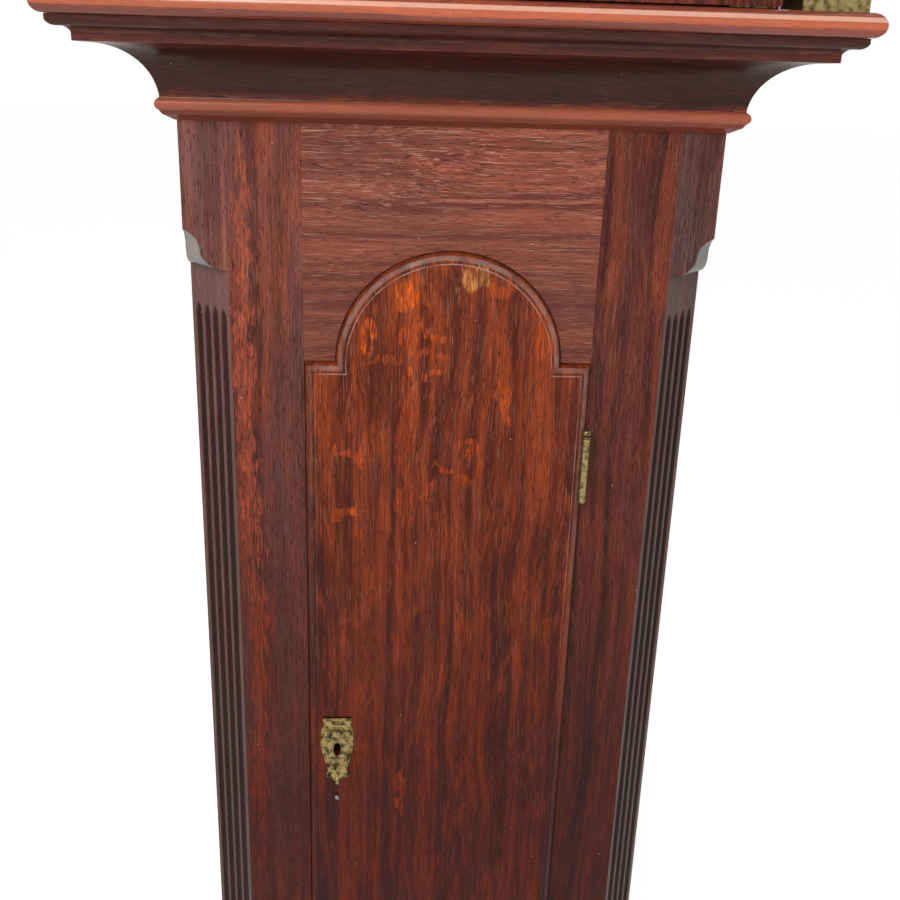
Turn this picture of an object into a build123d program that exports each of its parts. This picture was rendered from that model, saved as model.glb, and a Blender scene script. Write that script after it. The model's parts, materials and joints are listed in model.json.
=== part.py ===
from build123d import *

import math
import os

os.makedirs("parts", exist_ok=True)

# Longcase clock in oak, with an eight-day movement. Millimetres, X to the right, the front towards -Y,
# Z up from the floor, and the origin on the floor at the middle of the whole clock.

# Driving dimensions of the case
trunk_width = 350.0
trunk_depth = 178.0
board = 16.0
frame_thickness = 20.0
back_thickness = 12.0
plinth_height = 450.0
plinth_reach = 50.0
plinth_lift = 30.0
trunk_height = 907.5
skirting_height = 95.0
skirting_thickness = 10.0
foot_length = 90.0
foot_rise = 28.0
trunk_tail = 30.0
joint_gap = 0.1
fit = 0.3

# Corner posts with their stops and flutes
post_width = 28.2
post_depth = 34.0
stop_start = 68.5
stop_end = 96.0
stop_turn = 82.0
stop_share = 0.62
flute_start = 118.0
flute_count = 4
flute_pitch = 8.7
flute_radius = 3.8
flute_depth = 2.2
flute_nose = 14.0

# Trunk door, hinges, lock and keyhole plate
door_width = 195.2
door_gap = 0.6
door_thickness = 20.0
door_proud = 7.5
door_edge = 5.0
door_margin = 6.6
door_step = 0.9
door_ease = 0.7
door_ease_depth = 13.0
door_bottom_rise = 62.5
shoulder_drop = 157.0
arch_radius = 76.6
hinge_length = 43.0
hinge_drop = 52.0
knuckle_radius = 2.75
hinge_pin_radius = 1.25
leaf_thickness = 1.4
leaf_depth = 18.0
finial_radius = 2.9
plate_width = 25.4
plate_height = 62.0
plate_thickness = 1.6
plate_inset = 21.1
plate_drop = 466.0
plate_rise = 28.5
keyhole_width = 6.0
keyhole_height = 12.0
key_space = 12.0
lock_width = 28.0
lock_height = 60.0
lock_thickness = 13.0
lock_inset = 5.0
bolt_height = 16.0
bolt_thickness = 3.5
bolt_length = 22.0
bolt_setback = 2.4
bolt_play = 0.5

# Throat, waist and hood mouldings
throat_height = 62.5
throat_reach = 61.0
waist_reach = 58.0
moulding_edge = 3.0
bead_reach = 11.6
bead_height = 13.8
hollow_end = 22.0
ogee_reach = 11.6
ogee_height = 10.0
band_height = 6.0
hood_base_height = 14.0
hood_base_reach = 67.5
hood_base_inset = 3.2
cornice_height = 75.0
cornice_reach = 29.0

# Hood
hood_side_thickness = 14.0
hood_door_thickness = 22.0
hood_door_front = 44.0
hood_door_half = 186.0
hood_rail = 44.0
hood_opening = 300.0
hood_door_play = 1.2
hood_side_gap = 1.6
mask_gap = 1.4
glass_thickness = 2.5
glass_rebate = 2.5
glass_setback = 8.0
mask_thickness = 6.0
pillar_square = 40.0
pillar_margin = 9.0
pillar_block = 10.0
pillar_ring = 20.0
pillar_radius = 13.0
pillar_neck_radius = 11.0
pillar_rings = ((0, 0.4, 18.0), (0.4, 0.7, 14.5), (0.7, 1.0, 16.5))
soffit_thickness = 12.0
frieze_height = 62.0
frieze_thickness = 12.0
frieze_front_reach = 53.0
cover_thickness = 8.0
pivot_radius = 2.5
pivot_length = 8.0
pivot_inset = 6.0
pivot_setback = 9.0
pivot_plate = 0.9
pivot_plate_half = 5.0
pivot_plate_reach = 24.0
pivot_plate_end = 4.0

# Dial and hands
dial_size = 305.0
dial_thickness = 2.0
dial_setback = 13.0
dial_gap = 32.0
dial_foot_radius = 3.0
dial_foot_inset = 10.0
dial_foot_drop = 60.0
dial_foot_rise = 76.0
ring_outer = 138.0
ring_inner = 100.0
ring_thickness = 1.5
winding_hole = 6.0
minute_hand_length = 128.0
hour_hand_length = 92.0
seconds_hand_length = 24.0
hand_thickness = 1.2
hour_shown = 10
minute_shown = 10

# Movement
plate_gap = 60.0
movement_plate = 3.0
movement_half = 66.0
movement_top = 88.0
movement_drop = 75.0
seatboard_thickness = 18.0
seat_overhang = 13.0
rod_notch_half = 20.0
rod_notch_front = 10.0
corner_pillar_radius = 5.0
corner_pillar_inset = 6.0
corner_pillar_rise = 7.0
cock_gap = 9.0
cock_thickness = 3.0
cock_half = 20.0
cock_rise = 8.0
cock_leg = 5.0
pivot_hole_play = 0.05
arbor_pivot = 1.0
arbor_radius = 1.5
end_shake = 0.3
great_teeth = 96
centre_pinion_leaves = 8
great_module = 0.85
strike_teeth = 84
centre_teeth = 60
third_pinion_leaves = 8
centre_module = 0.8
third_teeth = 56
escape_pinion_leaves = 7
third_module = 0.7
escape_teeth = 30
escape_radius = 17.0
escape_root = 14.2
pallet_clearance = 0.35
seconds_height = 44.0
anchor_height = 68.0
cannon_teeth = 42
cannon_module = 0.7
hour_teeth = 84
minute_pinion_leaves = 7
barrel_spread = 42.5
drum_radius = 27.0
drum_length = 36.0
drum_setback = 14.0
drum_flange_width = 2.0
drum_flange = 30.0
winding_arbor = 3.0
line_radius = 0.75
pin_wheel_teeth = 64
pin_wheel_module = 0.7
pin_count = 8
pin_circle = 18.0
pin_radius = 0.9
pin_wheel_out = 40.0
hammer_out = 50.0
hammer_height = 74.0
hammer_rise = 33.0
hammer_head_radius = 5.0
bell_radius = 42.0
bell_height = 34.0
bell_wall = 2.0
bell_rise = 104.0
bell_gap = 1.5
bell_seat = 0.4

# Pendulum and weights
pendulum_length = 994.0
rod_radius = 2.0
rod_setback = 17.0
bob_radius = 50.0
bob_thickness = 22.0
bob_edge = 3.0
rod_tail = 22.0
grip_half = 3.0
grip_rise = 12.0
spring_thickness = 0.6
spring_width = 6.0
spring_length = 38.0
nut_radius = 8.0
nut_height = 6.0
weight_radius = 32.0
weight_height = 220.0
weight_rest = 130.0
pulley_radius = 20.0
pulley_rim = 22.0
pulley_width = 6.0
pulley_rise = 55.0
hook_rise = 16.0
hook_radius = 2.5
stirrup_half = 6.0
stirrup_wall = 1.5
stirrup_bridge = 5.0
axle_radius = 2.0

# Levels and lines that the sizes give
overall_depth = trunk_depth + frieze_front_reach + cornice_reach
rear = overall_depth / 2
trunk_front = rear - trunk_depth
trunk_half = trunk_width / 2
post_inner = trunk_half - post_width
door_half = door_width / 2
stile_inner = door_half + door_gap
waist_top = plinth_height + throat_height
throat_bottom = waist_top + trunk_height
throat_top = throat_bottom + throat_height
base_bottom = throat_top + fit
base_top = base_bottom + hood_base_height
back_front = rear - back_thickness
door_bottom = waist_top + door_bottom_rise
shoulder = throat_bottom - shoulder_drop
door_face = trunk_front - door_proud
door_back = door_face + door_thickness
hood_inner = trunk_half + hood_base_inset
hood_outer = hood_inner + hood_side_thickness
dial_front = trunk_front - dial_setback
dial_back = dial_front + dial_thickness
front_plate_front = dial_back + dial_gap
front_plate_back = front_plate_front + movement_plate
back_plate_front = front_plate_back + plate_gap
back_plate_back = back_plate_front + movement_plate
opening_bottom = base_top + hood_door_play + hood_rail
dial_centre = opening_bottom + hood_opening / 2
hood_top = dial_centre + hood_opening / 2 + hood_rail + hood_door_play
seat_top = dial_centre - movement_drop
seat_bottom = seat_top - seatboard_thickness
plinth_half = trunk_half + plinth_reach
plinth_front_face = trunk_front - plinth_reach
drum_front = front_plate_back + drum_setback
line_depth = drum_front + drum_length / 2
line_out = barrel_spread + drum_radius + line_radius + pivot_hole_play
line_in = line_out - 2 * pulley_radius
pulley_out = line_out - pulley_radius
pulley_level = weight_rest + weight_height + pulley_rise
rod_depth = back_plate_back + rod_setback
anchor_level = dial_centre + anchor_height
bob_level = anchor_level - pendulum_length


def span_board(x, y, z, mode=Mode.ADD):
    """Add or cut a square-edged board that fills three spans, each from low to high."""
    with Locations(((x[0] + x[1]) / 2, (y[0] + y[1]) / 2, (z[0] + z[1]) / 2)):
        Box(x[1] - x[0], y[1] - y[0], z[1] - z[0], mode=mode)


def level_rod(centre, y, radius, mode=Mode.ADD):
    """Add or cut a round bar that lies along Y, at (x, z), from y[0] in front to y[1] behind."""
    with BuildSketch(Plane.XZ.offset(-y[1])) as section:
        with Locations(centre):
            Circle(radius)
    extrude(section.sketch, amount=y[1] - y[0], mode=mode)


def upright_rod(centre, z, radius, mode=Mode.ADD):
    """Add or cut a round bar that stands along Z, at (x, y), from z[0] up to z[1]."""
    with BuildSketch(Plane.XY.offset(z[0])) as section:
        with Locations(centre):
            Circle(radius)
    extrude(section.sketch, amount=z[1] - z[0], mode=mode)


def mitred_moulding(section, half, front, reach, bottom, back):
    """Build a moulding's front length and two returns, mitred round a case.

    section draws the closed outline as (projection, height) inside an open BuildLine.
    """
    slant = joint_gap / 2
    corner_right = Plane(origin=(half, front, 0), z_dir=(1, 1, 0))
    corner_left = Plane(origin=(-half, front, 0), z_dir=(-1, 1, 0))
    length = half + reach + 1
    across = Plane(origin=(length, front, bottom), x_dir=(0, -1, 0), z_dir=(-1, 0, 0))
    right_end = Plane(origin=(half, back, bottom), x_dir=(1, 0, 0), z_dir=(0, -1, 0))
    left_end = Plane(origin=(-half, back, bottom), x_dir=(-1, 0, 0), z_dir=(0, 1, 0))
    run = back - front + reach + 1
    with BuildPart() as across_front:
        with BuildSketch(across):
            with BuildLine():
                section()
            make_face()
        extrude(amount=2 * length)
        split(bisect_by=corner_right.offset(-slant), keep=Keep.BOTTOM)
        split(bisect_by=corner_left.offset(-slant), keep=Keep.BOTTOM)
    with BuildPart() as right_return:
        with BuildSketch(right_end):
            with BuildLine():
                section()
            make_face()
        extrude(amount=run)
        split(bisect_by=corner_right.offset(slant), keep=Keep.TOP)
    with BuildPart() as left_return:
        with BuildSketch(left_end):
            with BuildLine():
                section()
            make_face()
        extrude(amount=-run)
        split(bisect_by=corner_left.offset(slant), keep=Keep.TOP)
    with BuildPart() as moulding:
        add(across_front.part)
        add(right_return.part)
        add(left_return.part)
    return moulding


def cove_section(reach, height, bead_out, bead_top, flip=1):
    """Outline of a moulding with a bead, a deep hollow, two flat bands and an S-curve between them.

    With flip at -1 the outline hangs down from its own top, for a moulding that widens downwards.
    """
    band = reach - ogee_reach
    band_top = height - ogee_height
    hollow_top = band_top - band_height
    hollow_reach = reach - hollow_end
    hollow_start = bead_out - 2.9
    level = 0 if flip > 0 else height
    points = [(0, 0), (1, 0), (bead_out - 4, bead_top - 9.8), (bead_out - 2.1, bead_top - 7)]
    bead_end = (bead_out - 2.6, bead_top)

    def at(reach_out, rise):
        return (reach_out, level + flip * rise)

    Polyline([at(*point) for point in points])
    ThreePointArc(at(*points[-1]), at(bead_out, bead_top - 3.8), at(*bead_end))
    Line(at(*bead_end), at(hollow_start, bead_top + 0.8))
    middle = (
        hollow_start + 0.27 * (hollow_reach - hollow_start), hollow_top - 0.38 * (hollow_top - bead_top)
    )
    ThreePointArc(at(hollow_start, bead_top + 0.8), at(*middle), at(hollow_reach, hollow_top))
    Polyline(at(hollow_reach, hollow_top), at(band, hollow_top + 1.3), at(band, band_top))
    turn = ((band + reach) / 2, (band_top + height - moulding_edge) / 2)
    low = (turn[0] - 0.34 * (reach - band), turn[1] - 0.16 * (height - moulding_edge - band_top))
    high = (2 * turn[0] - low[0], 2 * turn[1] - low[1])
    ThreePointArc(at(band, band_top), at(*low), at(*turn))
    ThreePointArc(at(*turn), at(*high), at(reach, height - moulding_edge))
    Polyline(at(reach, height - moulding_edge), at(reach, height), at(0, height), at(0, 0))


def toothed_disc(centre, y, teeth, module, toward, hub=0.0, rim_width=0.0):
    """Add a toothed wheel of trapezoid teeth, one of them pointing along toward, in degrees.

    With a hub radius the disc is crossed out, leaving a rim, four arms and the hub.
    """
    pitch = teeth * module / 2
    tip = pitch + 0.7 * module
    root = pitch - 1.2 * module
    half_step = 180 / teeth
    outline = []
    for tooth in range(teeth):
        middle = toward + 2 * half_step * tooth
        for share, radius in ((-0.55, root), (-0.2, tip), (0.2, tip), (0.55, root)):
            angle = math.radians(middle + share * half_step)
            outline.append((radius * math.cos(angle), radius * math.sin(angle)))
    rim = root - (rim_width or 2.5 * module)
    with BuildSketch(Plane.XZ.offset(-y[1])) as disc:
        with Locations(centre):
            Polygon(*outline, align=None)
        if hub:
            with Locations(centre):
                Circle(rim, mode=Mode.SUBTRACT)
                Circle(hub)
            for turn in (45, 135):
                with Locations(centre):
                    Rectangle(2 * rim + module, hub * 0.6, rotation=turn)
    extrude(disc.sketch, amount=y[1] - y[0])


def arbor(centre, radius=arbor_radius):
    """Add an arbor with a pivot at each end, from plate to plate."""
    level_rod(centre, (front_plate_back + end_shake, back_plate_front - end_shake), radius)
    level_rod(centre, (front_plate_front, back_plate_back), arbor_pivot)


def direction(start, end):
    """Angle in degrees from one centre to another, in the (x, z) plane."""
    return math.degrees(math.atan2(end[1] - start[1], end[0] - start[0]))


def around(centre, radius, angle):
    """Point at a radius and an angle in degrees round a centre, in the (x, z) plane."""
    return (
        centre[0] + radius * math.cos(math.radians(angle)),
        centre[1] + radius * math.sin(math.radians(angle)),
    )


def mirrored(piece):
    """Build the left-hand copy of a right-hand piece."""
    with BuildPart() as other:
        mirror(piece.part, about=Plane.YZ)
    return other


# Centres of the arbors in the plane of the dial, as (x, z)
centre_arbor = (0, dial_centre)
great_distance = (great_teeth + centre_pinion_leaves) * great_module / 2
barrel_drop = math.sqrt(great_distance**2 - barrel_spread**2)
going_centre = (barrel_spread, dial_centre - barrel_drop)
strike_centre = (-barrel_spread, dial_centre - barrel_drop)
strike_distance = (strike_teeth + centre_pinion_leaves) * great_module / 2
escape_centre = (0, dial_centre + seconds_height)
third_near = (centre_teeth + third_pinion_leaves) * centre_module / 2
third_far = (third_teeth + escape_pinion_leaves) * third_module / 2
third_rise = (third_near**2 - third_far**2 + seconds_height**2) / (2 * seconds_height)
third_centre = (math.sqrt(third_near**2 - third_rise**2), dial_centre + third_rise)
minute_distance = cannon_teeth * cannon_module
minute_centre = (0, dial_centre - minute_distance)
hour_module = 2 * minute_distance / (hour_teeth + minute_pinion_leaves)
pin_wheel_side = pin_wheel_out - barrel_spread
pin_wheel_rise = math.sqrt(strike_distance**2 - pin_wheel_side**2) - barrel_drop
pin_wheel_centre = (-pin_wheel_out, dial_centre + pin_wheel_rise)
anchor_centre = (0, anchor_level)
hammer_centre = (-hammer_out, dial_centre + hammer_height)

# Layers of the wheels, front to back
centre_layer = (front_plate_back + 6.0, front_plate_back + 8.0)
pin_layer = (front_plate_back + 9.0, front_plate_back + 11.0)
escape_layer = (front_plate_back + 30.0, front_plate_back + 32.0)
third_layer = (front_plate_back + 44.0, front_plate_back + 46.0)
great_layer = (drum_front + drum_length, drum_front + drum_length + 2.5)
cannon_layer = (front_plate_front - 4.0, front_plate_front - 2.5)
hour_layer = (front_plate_front - 9.5, front_plate_front - 8.0)

pieces = {}

# Backboard: a tall plank with the hole for the wall screw, and a strip beside it behind the plinth
wall_screw_radius = 3.0
wall_screw_level = dial_centre + 120.0
with BuildPart() as backboard:
    span_board((-trunk_half, trunk_half), (back_front, rear), (plinth_lift, hood_top - fit))
    level_rod((0, wall_screw_level), (back_front, rear), wall_screw_radius, Mode.SUBTRACT)
    for side in (-1, 1):
        edges = sorted((side * (trunk_half + joint_gap), side * (plinth_half - board - fit)))
        span_board(edges, (back_front, rear), (plinth_lift, plinth_height))
pieces["backboard"] = backboard

# Trunk sides run up through the throat as cheeks that carry the seatboard
with BuildPart() as trunk_sides:
    for side in (-1, 1):
        edges = sorted((side * (trunk_half - board), side * trunk_half))
        span_board(edges, (trunk_front + post_depth, back_front), (plinth_height - trunk_tail, seat_bottom))
pieces["trunk_sides"] = trunk_sides

# Corner posts: square above the stop, canted and fluted below it
cant = post_width / math.sqrt(2)
cant_plane = Plane(
    origin=(trunk_half - post_width / 2, trunk_front + post_width / 2, 0),
    x_dir=(1, -1, 0),
    z_dir=(-1, -1, 0),
)
with BuildPart() as corner_post_right:
    span_board(
        (post_inner, trunk_half),
        (trunk_front, trunk_front + post_depth),
        (plinth_height - trunk_tail, throat_top),
    )
    stop_depth = stop_share * cant
    with BuildSketch(cant_plane.offset(-cant - 1)):
        with BuildLine():
            for flip in (1, -1):
                base = throat_bottom if flip > 0 else waist_top
                turn = (stop_depth, base - flip * stop_turn)
                tip = (cant, base - flip * stop_start)
                foot = (0, base - flip * stop_end)
                TangentArc(turn, tip, tangent=(0, flip))
                TangentArc(turn, foot, tangent=(0, -flip))
                Line(tip, (cant + 3, tip[1]))
            Line((0, throat_bottom - stop_end), (0, waist_top + stop_end))
            Line((cant + 3, throat_bottom - stop_start), (cant + 3, waist_top + stop_start))
        make_face()
    extrude(amount=2 * cant + 2, mode=Mode.SUBTRACT)
    flute_axis = flute_radius - flute_depth
    flute_top = throat_bottom - flute_start
    flute_foot = waist_top + flute_start
    for flute in range(flute_count):
        along = (flute - (flute_count - 1) / 2) * flute_pitch
        foot_x = trunk_half - post_width / 2 + (along + flute_axis) / math.sqrt(2)
        foot_y = trunk_front + post_width / 2 + (along - flute_axis) / math.sqrt(2)
        groove = Plane(origin=(foot_x, foot_y, 0), x_dir=(1, 1, 0), z_dir=(1, -1, 0))
        with BuildSketch(groove):
            with BuildLine():
                Line((0, flute_foot), (0, flute_top))
                nose_top = flute_top - flute_nose
                nose_foot = flute_foot + flute_nose
                TangentArc((flute_radius, nose_top), (0, flute_top), tangent=(0, 1))
                TangentArc((flute_radius, nose_foot), (0, flute_foot), tangent=(0, -1))
                Line((flute_radius, nose_top), (flute_radius, nose_foot))
            make_face()
        revolve(axis=Axis((foot_x, foot_y, 0), (0, 0, 1)), mode=Mode.SUBTRACT)
pieces["corner_post_right"] = corner_post_right
pieces["corner_post_left"] = mirrored(corner_post_right)

# Stiles beside the door; the right one has the hinge recesses
stile_back = trunk_front + frame_thickness
hinge_levels = (shoulder - hinge_drop - hinge_length / 2, door_bottom + hinge_drop + hinge_length / 2)
leaf_back = trunk_front + leaf_depth
bolt_level = throat_bottom - plate_drop
stile_levels = (plinth_height - trunk_tail, throat_top)
with BuildPart() as trunk_stile_right:
    span_board((stile_inner, post_inner), (trunk_front, stile_back), stile_levels)
    for level in hinge_levels:
        recess = (level - hinge_length / 2, level + hinge_length / 2)
        span_board(
            (stile_inner, stile_inner + leaf_thickness), (trunk_front, leaf_back), recess, Mode.SUBTRACT
        )
with BuildPart() as trunk_stile_left:
    span_board((-post_inner, -stile_inner), (trunk_front, stile_back), stile_levels)
pieces["trunk_stile_left"] = trunk_stile_left
pieces["trunk_stile_right"] = trunk_stile_right

# Rails above and below the door; the upper one follows the door's shoulders and arch
with BuildPart() as trunk_top_rail:
    span_board((-stile_inner, stile_inner), (trunk_front, stile_back), (shoulder + door_gap, throat_top))
    level_rod((0, shoulder), (trunk_front, stile_back), arch_radius + door_gap, Mode.SUBTRACT)
with BuildPart() as trunk_bottom_rail:
    span_board(
        (-stile_inner, stile_inner), (trunk_front, stile_back), (stile_levels[0], door_bottom - door_gap)
    )
pieces["trunk_top_rail"] = trunk_top_rail
pieces["trunk_bottom_rail"] = trunk_bottom_rail

# Throat moulding under the hood, and the waist moulding that covers the joint with the plinth
throat_moulding = mitred_moulding(
    lambda: cove_section(throat_reach, throat_height, bead_reach, bead_height),
    trunk_half,
    trunk_front,
    throat_reach,
    throat_bottom,
    rear,
)
waist_moulding = mitred_moulding(
    lambda: cove_section(waist_reach, throat_height, bead_reach, bead_height, -1),
    trunk_half,
    trunk_front,
    waist_reach,
    plinth_height,
    rear,
)
pieces["throat_moulding"] = throat_moulding
pieces["waist_moulding"] = waist_moulding

# Plinth: front, two sides, bottom board and the skirting with its bracket feet
with BuildPart() as plinth_front:
    span_board(
        (-plinth_half, plinth_half),
        (plinth_front_face, plinth_front_face + board),
        (plinth_lift, plinth_height),
    )
with BuildPart() as plinth_sides:
    for side in (-1, 1):
        edges = sorted((side * (plinth_half - board), side * plinth_half))
        span_board(edges, (plinth_front_face + board, rear), (plinth_lift, plinth_height))
inside = plinth_half - board - fit
with BuildPart() as bottom_board:
    span_board(
        (-inside, inside),
        (plinth_front_face + board + fit, back_front - fit),
        (plinth_lift, plinth_lift + board * 0.75),
    )


def skirting_section():
    """Outline of the skirting: a flat board with a small hollow along its top."""
    Polyline(
        (0, 0),
        (skirting_thickness, 0),
        (skirting_thickness, skirting_height - 10),
        (3, skirting_height),
        (0, skirting_height),
        (0, 0),
    )


skirting = mitred_moulding(
    skirting_section, plinth_half, plinth_front_face, skirting_thickness, 0, rear
)
with BuildPart() as plinth_skirting:
    add(skirting.part)
    reach_out = skirting_thickness + 1
    foot_edge = plinth_half - foot_length
    span_board(
        (-foot_edge, foot_edge),
        (plinth_front_face - reach_out, plinth_front_face + 1),
        (-1, foot_rise),
        Mode.SUBTRACT,
    )
    span_board(
        (-plinth_half - reach_out, plinth_half + reach_out),
        (plinth_front_face + foot_length, rear - foot_length / 2),
        (-1, foot_rise),
        Mode.SUBTRACT,
    )
pieces["plinth_front"] = plinth_front
pieces["plinth_sides"] = plinth_sides
pieces["bottom_board"] = bottom_board
pieces["plinth_skirting"] = plinth_skirting

# Trunk door: a raised field inside a rounded edge, hinge recesses, keyhole and an eased closing edge
hinge_x = door_half + door_gap / 2
hinge_y = door_face - 0.5
keyhole_x = -door_half + plate_inset


def door_outline(depth, margin=0.0):
    """Draw the arched and shouldered outline of the door at a depth, drawn in by a margin."""
    with BuildSketch(Plane.XZ.offset(-depth)) as outline:
        with Locations((0, (door_bottom + shoulder) / 2)):
            Rectangle(door_width - 2 * margin, shoulder - door_bottom - 2 * margin)
        with Locations((0, shoulder)):
            Circle(arch_radius - margin)
    return outline.sketch


with BuildPart() as trunk_door:
    extrude(door_outline(door_back), amount=door_thickness - door_step)
    front_edges = trunk_door.faces().sort_by(Axis.Y)[0].outer_wire().edges()
    fillet(front_edges, radius=door_edge)
    extrude(door_outline(door_face + door_step, door_margin), amount=door_step)
    for level in hinge_levels:
        recess = (level - hinge_length / 2, level + hinge_length / 2)
        span_board(
            (door_half - leaf_thickness, door_half),
            (door_face - 1, leaf_back),
            recess,
            Mode.SUBTRACT,
        )
        clear = (recess[0] - 2 * finial_radius, recess[1] + 2 * finial_radius)
        upright_rod((hinge_x, hinge_y), clear, knuckle_radius + fit, Mode.SUBTRACT)
    with BuildSketch(Plane.XZ.offset(-door_back)):
        with Locations((keyhole_x, bolt_level)):
            Ellipse(keyhole_width / 2, keyhole_height / 2)
    extrude(amount=door_thickness, mode=Mode.SUBTRACT)
    with BuildSketch(Plane.XY.offset(door_bottom - 1)):
        Polygon(
            (-door_half, door_back - door_ease_depth),
            (-door_half + door_ease, door_back),
            (-door_half + door_ease, door_back + 1),
            (-door_half - 1, door_back + 1),
            (-door_half - 1, door_back - door_ease_depth),
            align=None,
        )
    extrude(amount=shoulder - door_bottom + 2, mode=Mode.SUBTRACT)
pieces["trunk_door"] = trunk_door

# Hinges: knuckles of the case leaf outside, that of the door leaf between them, and a pin with finials
knuckle = (hinge_length - 2 * fit) / 3
with BuildPart() as hinge_case_leaves:
    for level in hinge_levels:
        low = level - hinge_length / 2
        span_board(
            (stile_inner, stile_inner + leaf_thickness), (hinge_y, leaf_back), (low, low + hinge_length)
        )
        outer_end = stile_inner + leaf_thickness + knuckle_radius
        middle = (low + knuckle, low + 2 * knuckle + 2 * fit)
        span_board((stile_inner - 1, outer_end), (hinge_y - 4, trunk_front - fit), middle, Mode.SUBTRACT)
        for start in (low, low + 2 * (knuckle + fit)):
            upright_rod((hinge_x, hinge_y), (start, start + knuckle), knuckle_radius)
        upright_rod(
            (hinge_x, hinge_y), (low, low + hinge_length), hinge_pin_radius + pivot_hole_play, Mode.SUBTRACT
        )
with BuildPart() as hinge_door_leaves:
    for level in hinge_levels:
        low = level - hinge_length / 2
        high = low + hinge_length
        span_board((door_half - leaf_thickness, door_half), (hinge_y, leaf_back), (low, high))
        for end in ((low, low + knuckle + fit), (high - knuckle - fit, high)):
            upright_rod((hinge_x, hinge_y), end, knuckle_radius + fit, Mode.SUBTRACT)
        start = low + knuckle + fit
        upright_rod((hinge_x, hinge_y), (start, start + knuckle), knuckle_radius)
        upright_rod((hinge_x, hinge_y), (low, high), hinge_pin_radius + pivot_hole_play, Mode.SUBTRACT)
with BuildPart() as hinge_pins:
    for level in hinge_levels:
        low = level - hinge_length / 2 - 2 * fit
        high = level + hinge_length / 2 + 2 * fit
        upright_rod((hinge_x, hinge_y), (low, high), hinge_pin_radius)
        for end, way in ((low, -1), (high, 1)):
            upright_rod((hinge_x, hinge_y), sorted((end, end + way * 1.2)), finial_radius)
            with Locations((hinge_x, hinge_y, end + way * (1.2 + finial_radius * 0.8))):
                Sphere(finial_radius)
pieces["hinge_case_leaves"] = hinge_case_leaves
pieces["hinge_door_leaves"] = hinge_door_leaves
pieces["hinge_pins"] = hinge_pins

# Keyhole plate: a crown bar, swelling sides, bottom scrolls and a beaded tip round the keyhole
plate_top = bolt_level + plate_rise
half_plate = plate_width / 2
with BuildPart() as escutcheon:
    with BuildSketch(Plane.XZ.offset(-door_face)):
        with Locations((keyhole_x, plate_top - plate_height * 0.035)):
            Rectangle(plate_width * 0.84, plate_height * 0.07)
        with BuildLine():
            shape = (
                (half_plate * 0.84, plate_top - plate_height * 0.05),
                (half_plate * 0.94, plate_top - plate_height * 0.2),
                (half_plate, plate_top - plate_height * 0.37),
                (half_plate * 0.8, plate_top - plate_height * 0.59),
                (half_plate * 0.56, plate_top - plate_height * 0.78),
                (half_plate * 0.2, plate_top - plate_height * 0.91),
            )
            right_side = [(keyhole_x + x, z) for x, z in shape]
            left_side = [(keyhole_x - x, z) for x, z in reversed(shape)]
            Spline(right_side)
            Line(right_side[-1], left_side[0])
            Spline(left_side)
            Line(left_side[-1], right_side[0])
        make_face()
        for side in (-1, 1):
            with Locations((keyhole_x + side * half_plate * 0.5, plate_top - plate_height * 0.845)):
                Circle(plate_width * 0.09)
        for share, radius in ((0.925, 0.1), (0.965, 0.085)):
            with Locations((keyhole_x, plate_top - plate_height * share)):
                Circle(plate_width * radius)
        with Locations((keyhole_x, bolt_level)):
            Ellipse(keyhole_width / 2, keyhole_height / 2, mode=Mode.SUBTRACT)
    extrude(amount=plate_thickness)
pieces["escutcheon"] = escutcheon

# Lock case on the door's back, and its bolt, which shoots behind the stile and rests drawn back
lock_left = -door_half + lock_inset
lock_right = lock_left + lock_width
lock_levels = (bolt_level - lock_height / 2, bolt_level + lock_height / 2)
bolt_front = stile_back + bolt_play
bolt_back = bolt_front + bolt_thickness
bolt_rest = -door_half + bolt_setback
with BuildPart() as door_lock:
    span_board((lock_left, lock_right), (door_back, door_back + lock_thickness), lock_levels)
    span_board(
        (lock_left, bolt_rest + bolt_length + fit),
        (bolt_front - fit, bolt_back + fit),
        (bolt_level - bolt_height / 2 - fit, bolt_level + bolt_height / 2 + fit),
        Mode.SUBTRACT,
    )
    span_board(
        (keyhole_x - key_space / 2, keyhole_x + key_space / 2),
        (door_back, bolt_front),
        (bolt_level - bolt_height / 2, bolt_level + bolt_height / 2),
        Mode.SUBTRACT,
    )
with BuildPart() as lock_bolt:
    span_board(
        (bolt_rest, bolt_rest + bolt_length),
        (bolt_front, bolt_back),
        (bolt_level - bolt_height / 2, bolt_level + bolt_height / 2),
    )
pieces["door_lock"] = door_lock
pieces["lock_bolt"] = lock_bolt


# Hood base moulding: a half-round nosing on three sides, which slides on the throat moulding
def base_section():
    """Outline of the hood's base moulding, flat on top and rounded at its front."""
    nose = hood_base_reach - 5.5
    Line((hood_base_inset, 0), (nose, 0))
    ThreePointArc((nose, 0), (hood_base_reach, hood_base_height * 0.48), (nose - 1, hood_base_height))
    Polyline((nose - 1, hood_base_height), (hood_base_inset, hood_base_height), (hood_base_inset, 0))


hood_base = mitred_moulding(base_section, trunk_half, trunk_front, hood_base_reach, base_bottom, rear)
hood_pivot_x = hood_door_half - pivot_inset
hood_door_face = trunk_front - hood_door_front
hood_pivot_y = hood_door_face + pivot_setback
with BuildPart() as hood_base_moulding:
    add(hood_base.part)
    upright_rod(
        (hood_pivot_x, hood_pivot_y),
        (base_top - pivot_length - fit, base_top),
        pivot_radius + pivot_hole_play,
        Mode.SUBTRACT,
    )
pieces["hood_base_moulding"] = hood_base_moulding

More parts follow.
